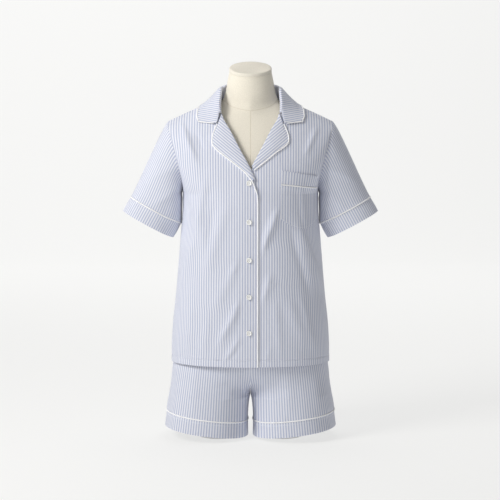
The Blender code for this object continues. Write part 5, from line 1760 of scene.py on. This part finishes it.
def dress_form():
    low = FORM_ROWS[0][0]
    high = FORM_ROWS[-1][0]
    below = np.linspace(low, FORM_FINE_Z, FORM_STEPS)
    above = np.linspace(FORM_FINE_Z + FORM_FINE_GAP, high, FORM_STEPS)
    heights = np.concatenate([below, above])
    rings_piece("form_body", [form_ring(z) for z in heights], LINEN, ["form_trunk"])
    base = form_ring(high) + np.array([0.0, 0.0, SEAM])
    centre = base.mean(axis=0)
    rings = []
    for lift, grow in CAP_ROWS:
        scale = np.array([grow, grow, 1.0])
        ring = centre + (base - centre) * scale + np.array([0.0, 0.0, lift])
        ring[:, 2] += CAP_LEAN * (ring[:, 1] - centre[1]) * min(1.0, lift / CAP_LEAN_TALL)
        rings.append(ring)
    rings_piece("form_cap_disc", rings, CAP, ["form_neck_cap"])
    form_line("form_seam_front", np.zeros(40), np.linspace(FRONT_SEAM_FOOT, NECK_SEAM_Z, 40))
    form_line("form_seam_back", np.full(60, math.pi), np.linspace(*BACK_SEAM, 60))
    round_it = np.linspace(-NECK_SEAM_ANGLE, NECK_SEAM_ANGLE, 90)
    quarter = np.minimum(np.abs(round_it), math.pi / 2)
    sag = NECK_SEAM_Z + NECK_SEAM_RISE * np.sin(quarter) ** 2
    form_line("form_seam_neck", round_it, sag)


def waistband():
    outer = np.array([form_ring(z, grow=WAIST_GAP + BAND) for z in WAIST_Z])
    inner = np.array([form_ring(z, grow=WAIST_GAP) for z in WAIST_Z])
    places = flat_places(outer, ring=True)
    shell("cloth_waistband", outer, inner, places, ["waistband"], ring=True)


def paint_blocks():
    for label in ("left", "right"):
        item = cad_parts[f"form_block_{label}"]
        item.data.materials.clear()
        item.data.materials.append(BLOCK)


def backdrop():
    """A seamless pale floor that turns up into a wall behind."""
    profile = [(-FLOOR_REACH, 0.0)]
    for k in range(SWEEP_STEPS + 1):
        a = math.pi / 2 * k / SWEEP_STEPS
        profile.append((WALL_Y - SWEEP + SWEEP * math.sin(a), SWEEP - SWEEP * math.cos(a)))
    profile.append((WALL_Y, WALL_HIGH))
    points = []
    for y, z in profile:
        points += [(-FLOOR_REACH, y, z), (FLOOR_REACH, y, z)]
    faces = [(2 * k, 2 * k + 1, 2 * k + 3, 2 * k + 2) for k in range(len(profile) - 1)]
    mesh = bpy.data.meshes.new("floor")
    mesh.from_pydata(points, [], faces)
    mesh.shade_smooth()
    mesh.materials.append(FLOOR)
    item = bpy.data.objects.new("floor", mesh)
    bpy.context.scene.collection.objects.link(item)


def area_light(name, place, aim, size, power, color):
    light = bpy.data.lights.new(name, "AREA")
    light.shape = "RECTANGLE"
    light.size, light.size_y = size
    light.energy = power
    light.color = color
    item = bpy.data.objects.new(name, light)
    item.location = place
    item.rotation_euler = (Vector(aim) - Vector(place)).to_track_quat("-Z", "Y").to_euler()
    bpy.context.scene.collection.objects.link(item)


def lights():
    for row in LIGHTS:
        area_light(*row)
    world = bpy.data.worlds.new("room")
    world.use_nodes = True
    shade = world.node_tree.nodes["Background"]
    shade.inputs["Color"].default_value = WORLD_COLOR
    shade.inputs["Strength"].default_value = WORLD_STRENGTH
    bpy.context.scene.world = world


def camera():
    """The photograph's view: a long lens, a little above the middle."""
    lens = bpy.data.cameras.new("camera")
    lens.lens = LENS
    lens.sensor_width = 36.0
    lens.clip_end = 50.0
    item = bpy.data.objects.new("camera", lens)
    tilt = math.radians(CAMERA_UP)
    back = Vector((0.0, -math.cos(tilt), math.sin(tilt)))
    item.location = Vector(CAMERA_AIM) + back * CAMERA_AWAY
    item.rotation_euler = (-back).to_track_quat("-Z", "Y").to_euler()
    bpy.context.scene.collection.objects.link(item)
    bpy.context.scene.camera = item


dress_form()
waistband()
front("right", -1)
front("left", 1)
back_panel()
for label, side in (("right", -1), ("left", 1)):
    sleeve(label, side)
    cuff(label, side)
    shorts_panel(label, side, -1)
    shorts_panel(label, side, 1)
    leg_trim(label, side)
lapel("right", -1, LAPEL_RIGHT)
lapel("left", 1, LAPEL_LEFT)
front_cord()
lapel_cord()
collar()
pocket()
buttons()
edge_stitches()
paint_blocks()
backdrop()
lights()
camera()
bpy.context.scene.view_settings.view_transform = "Standard"
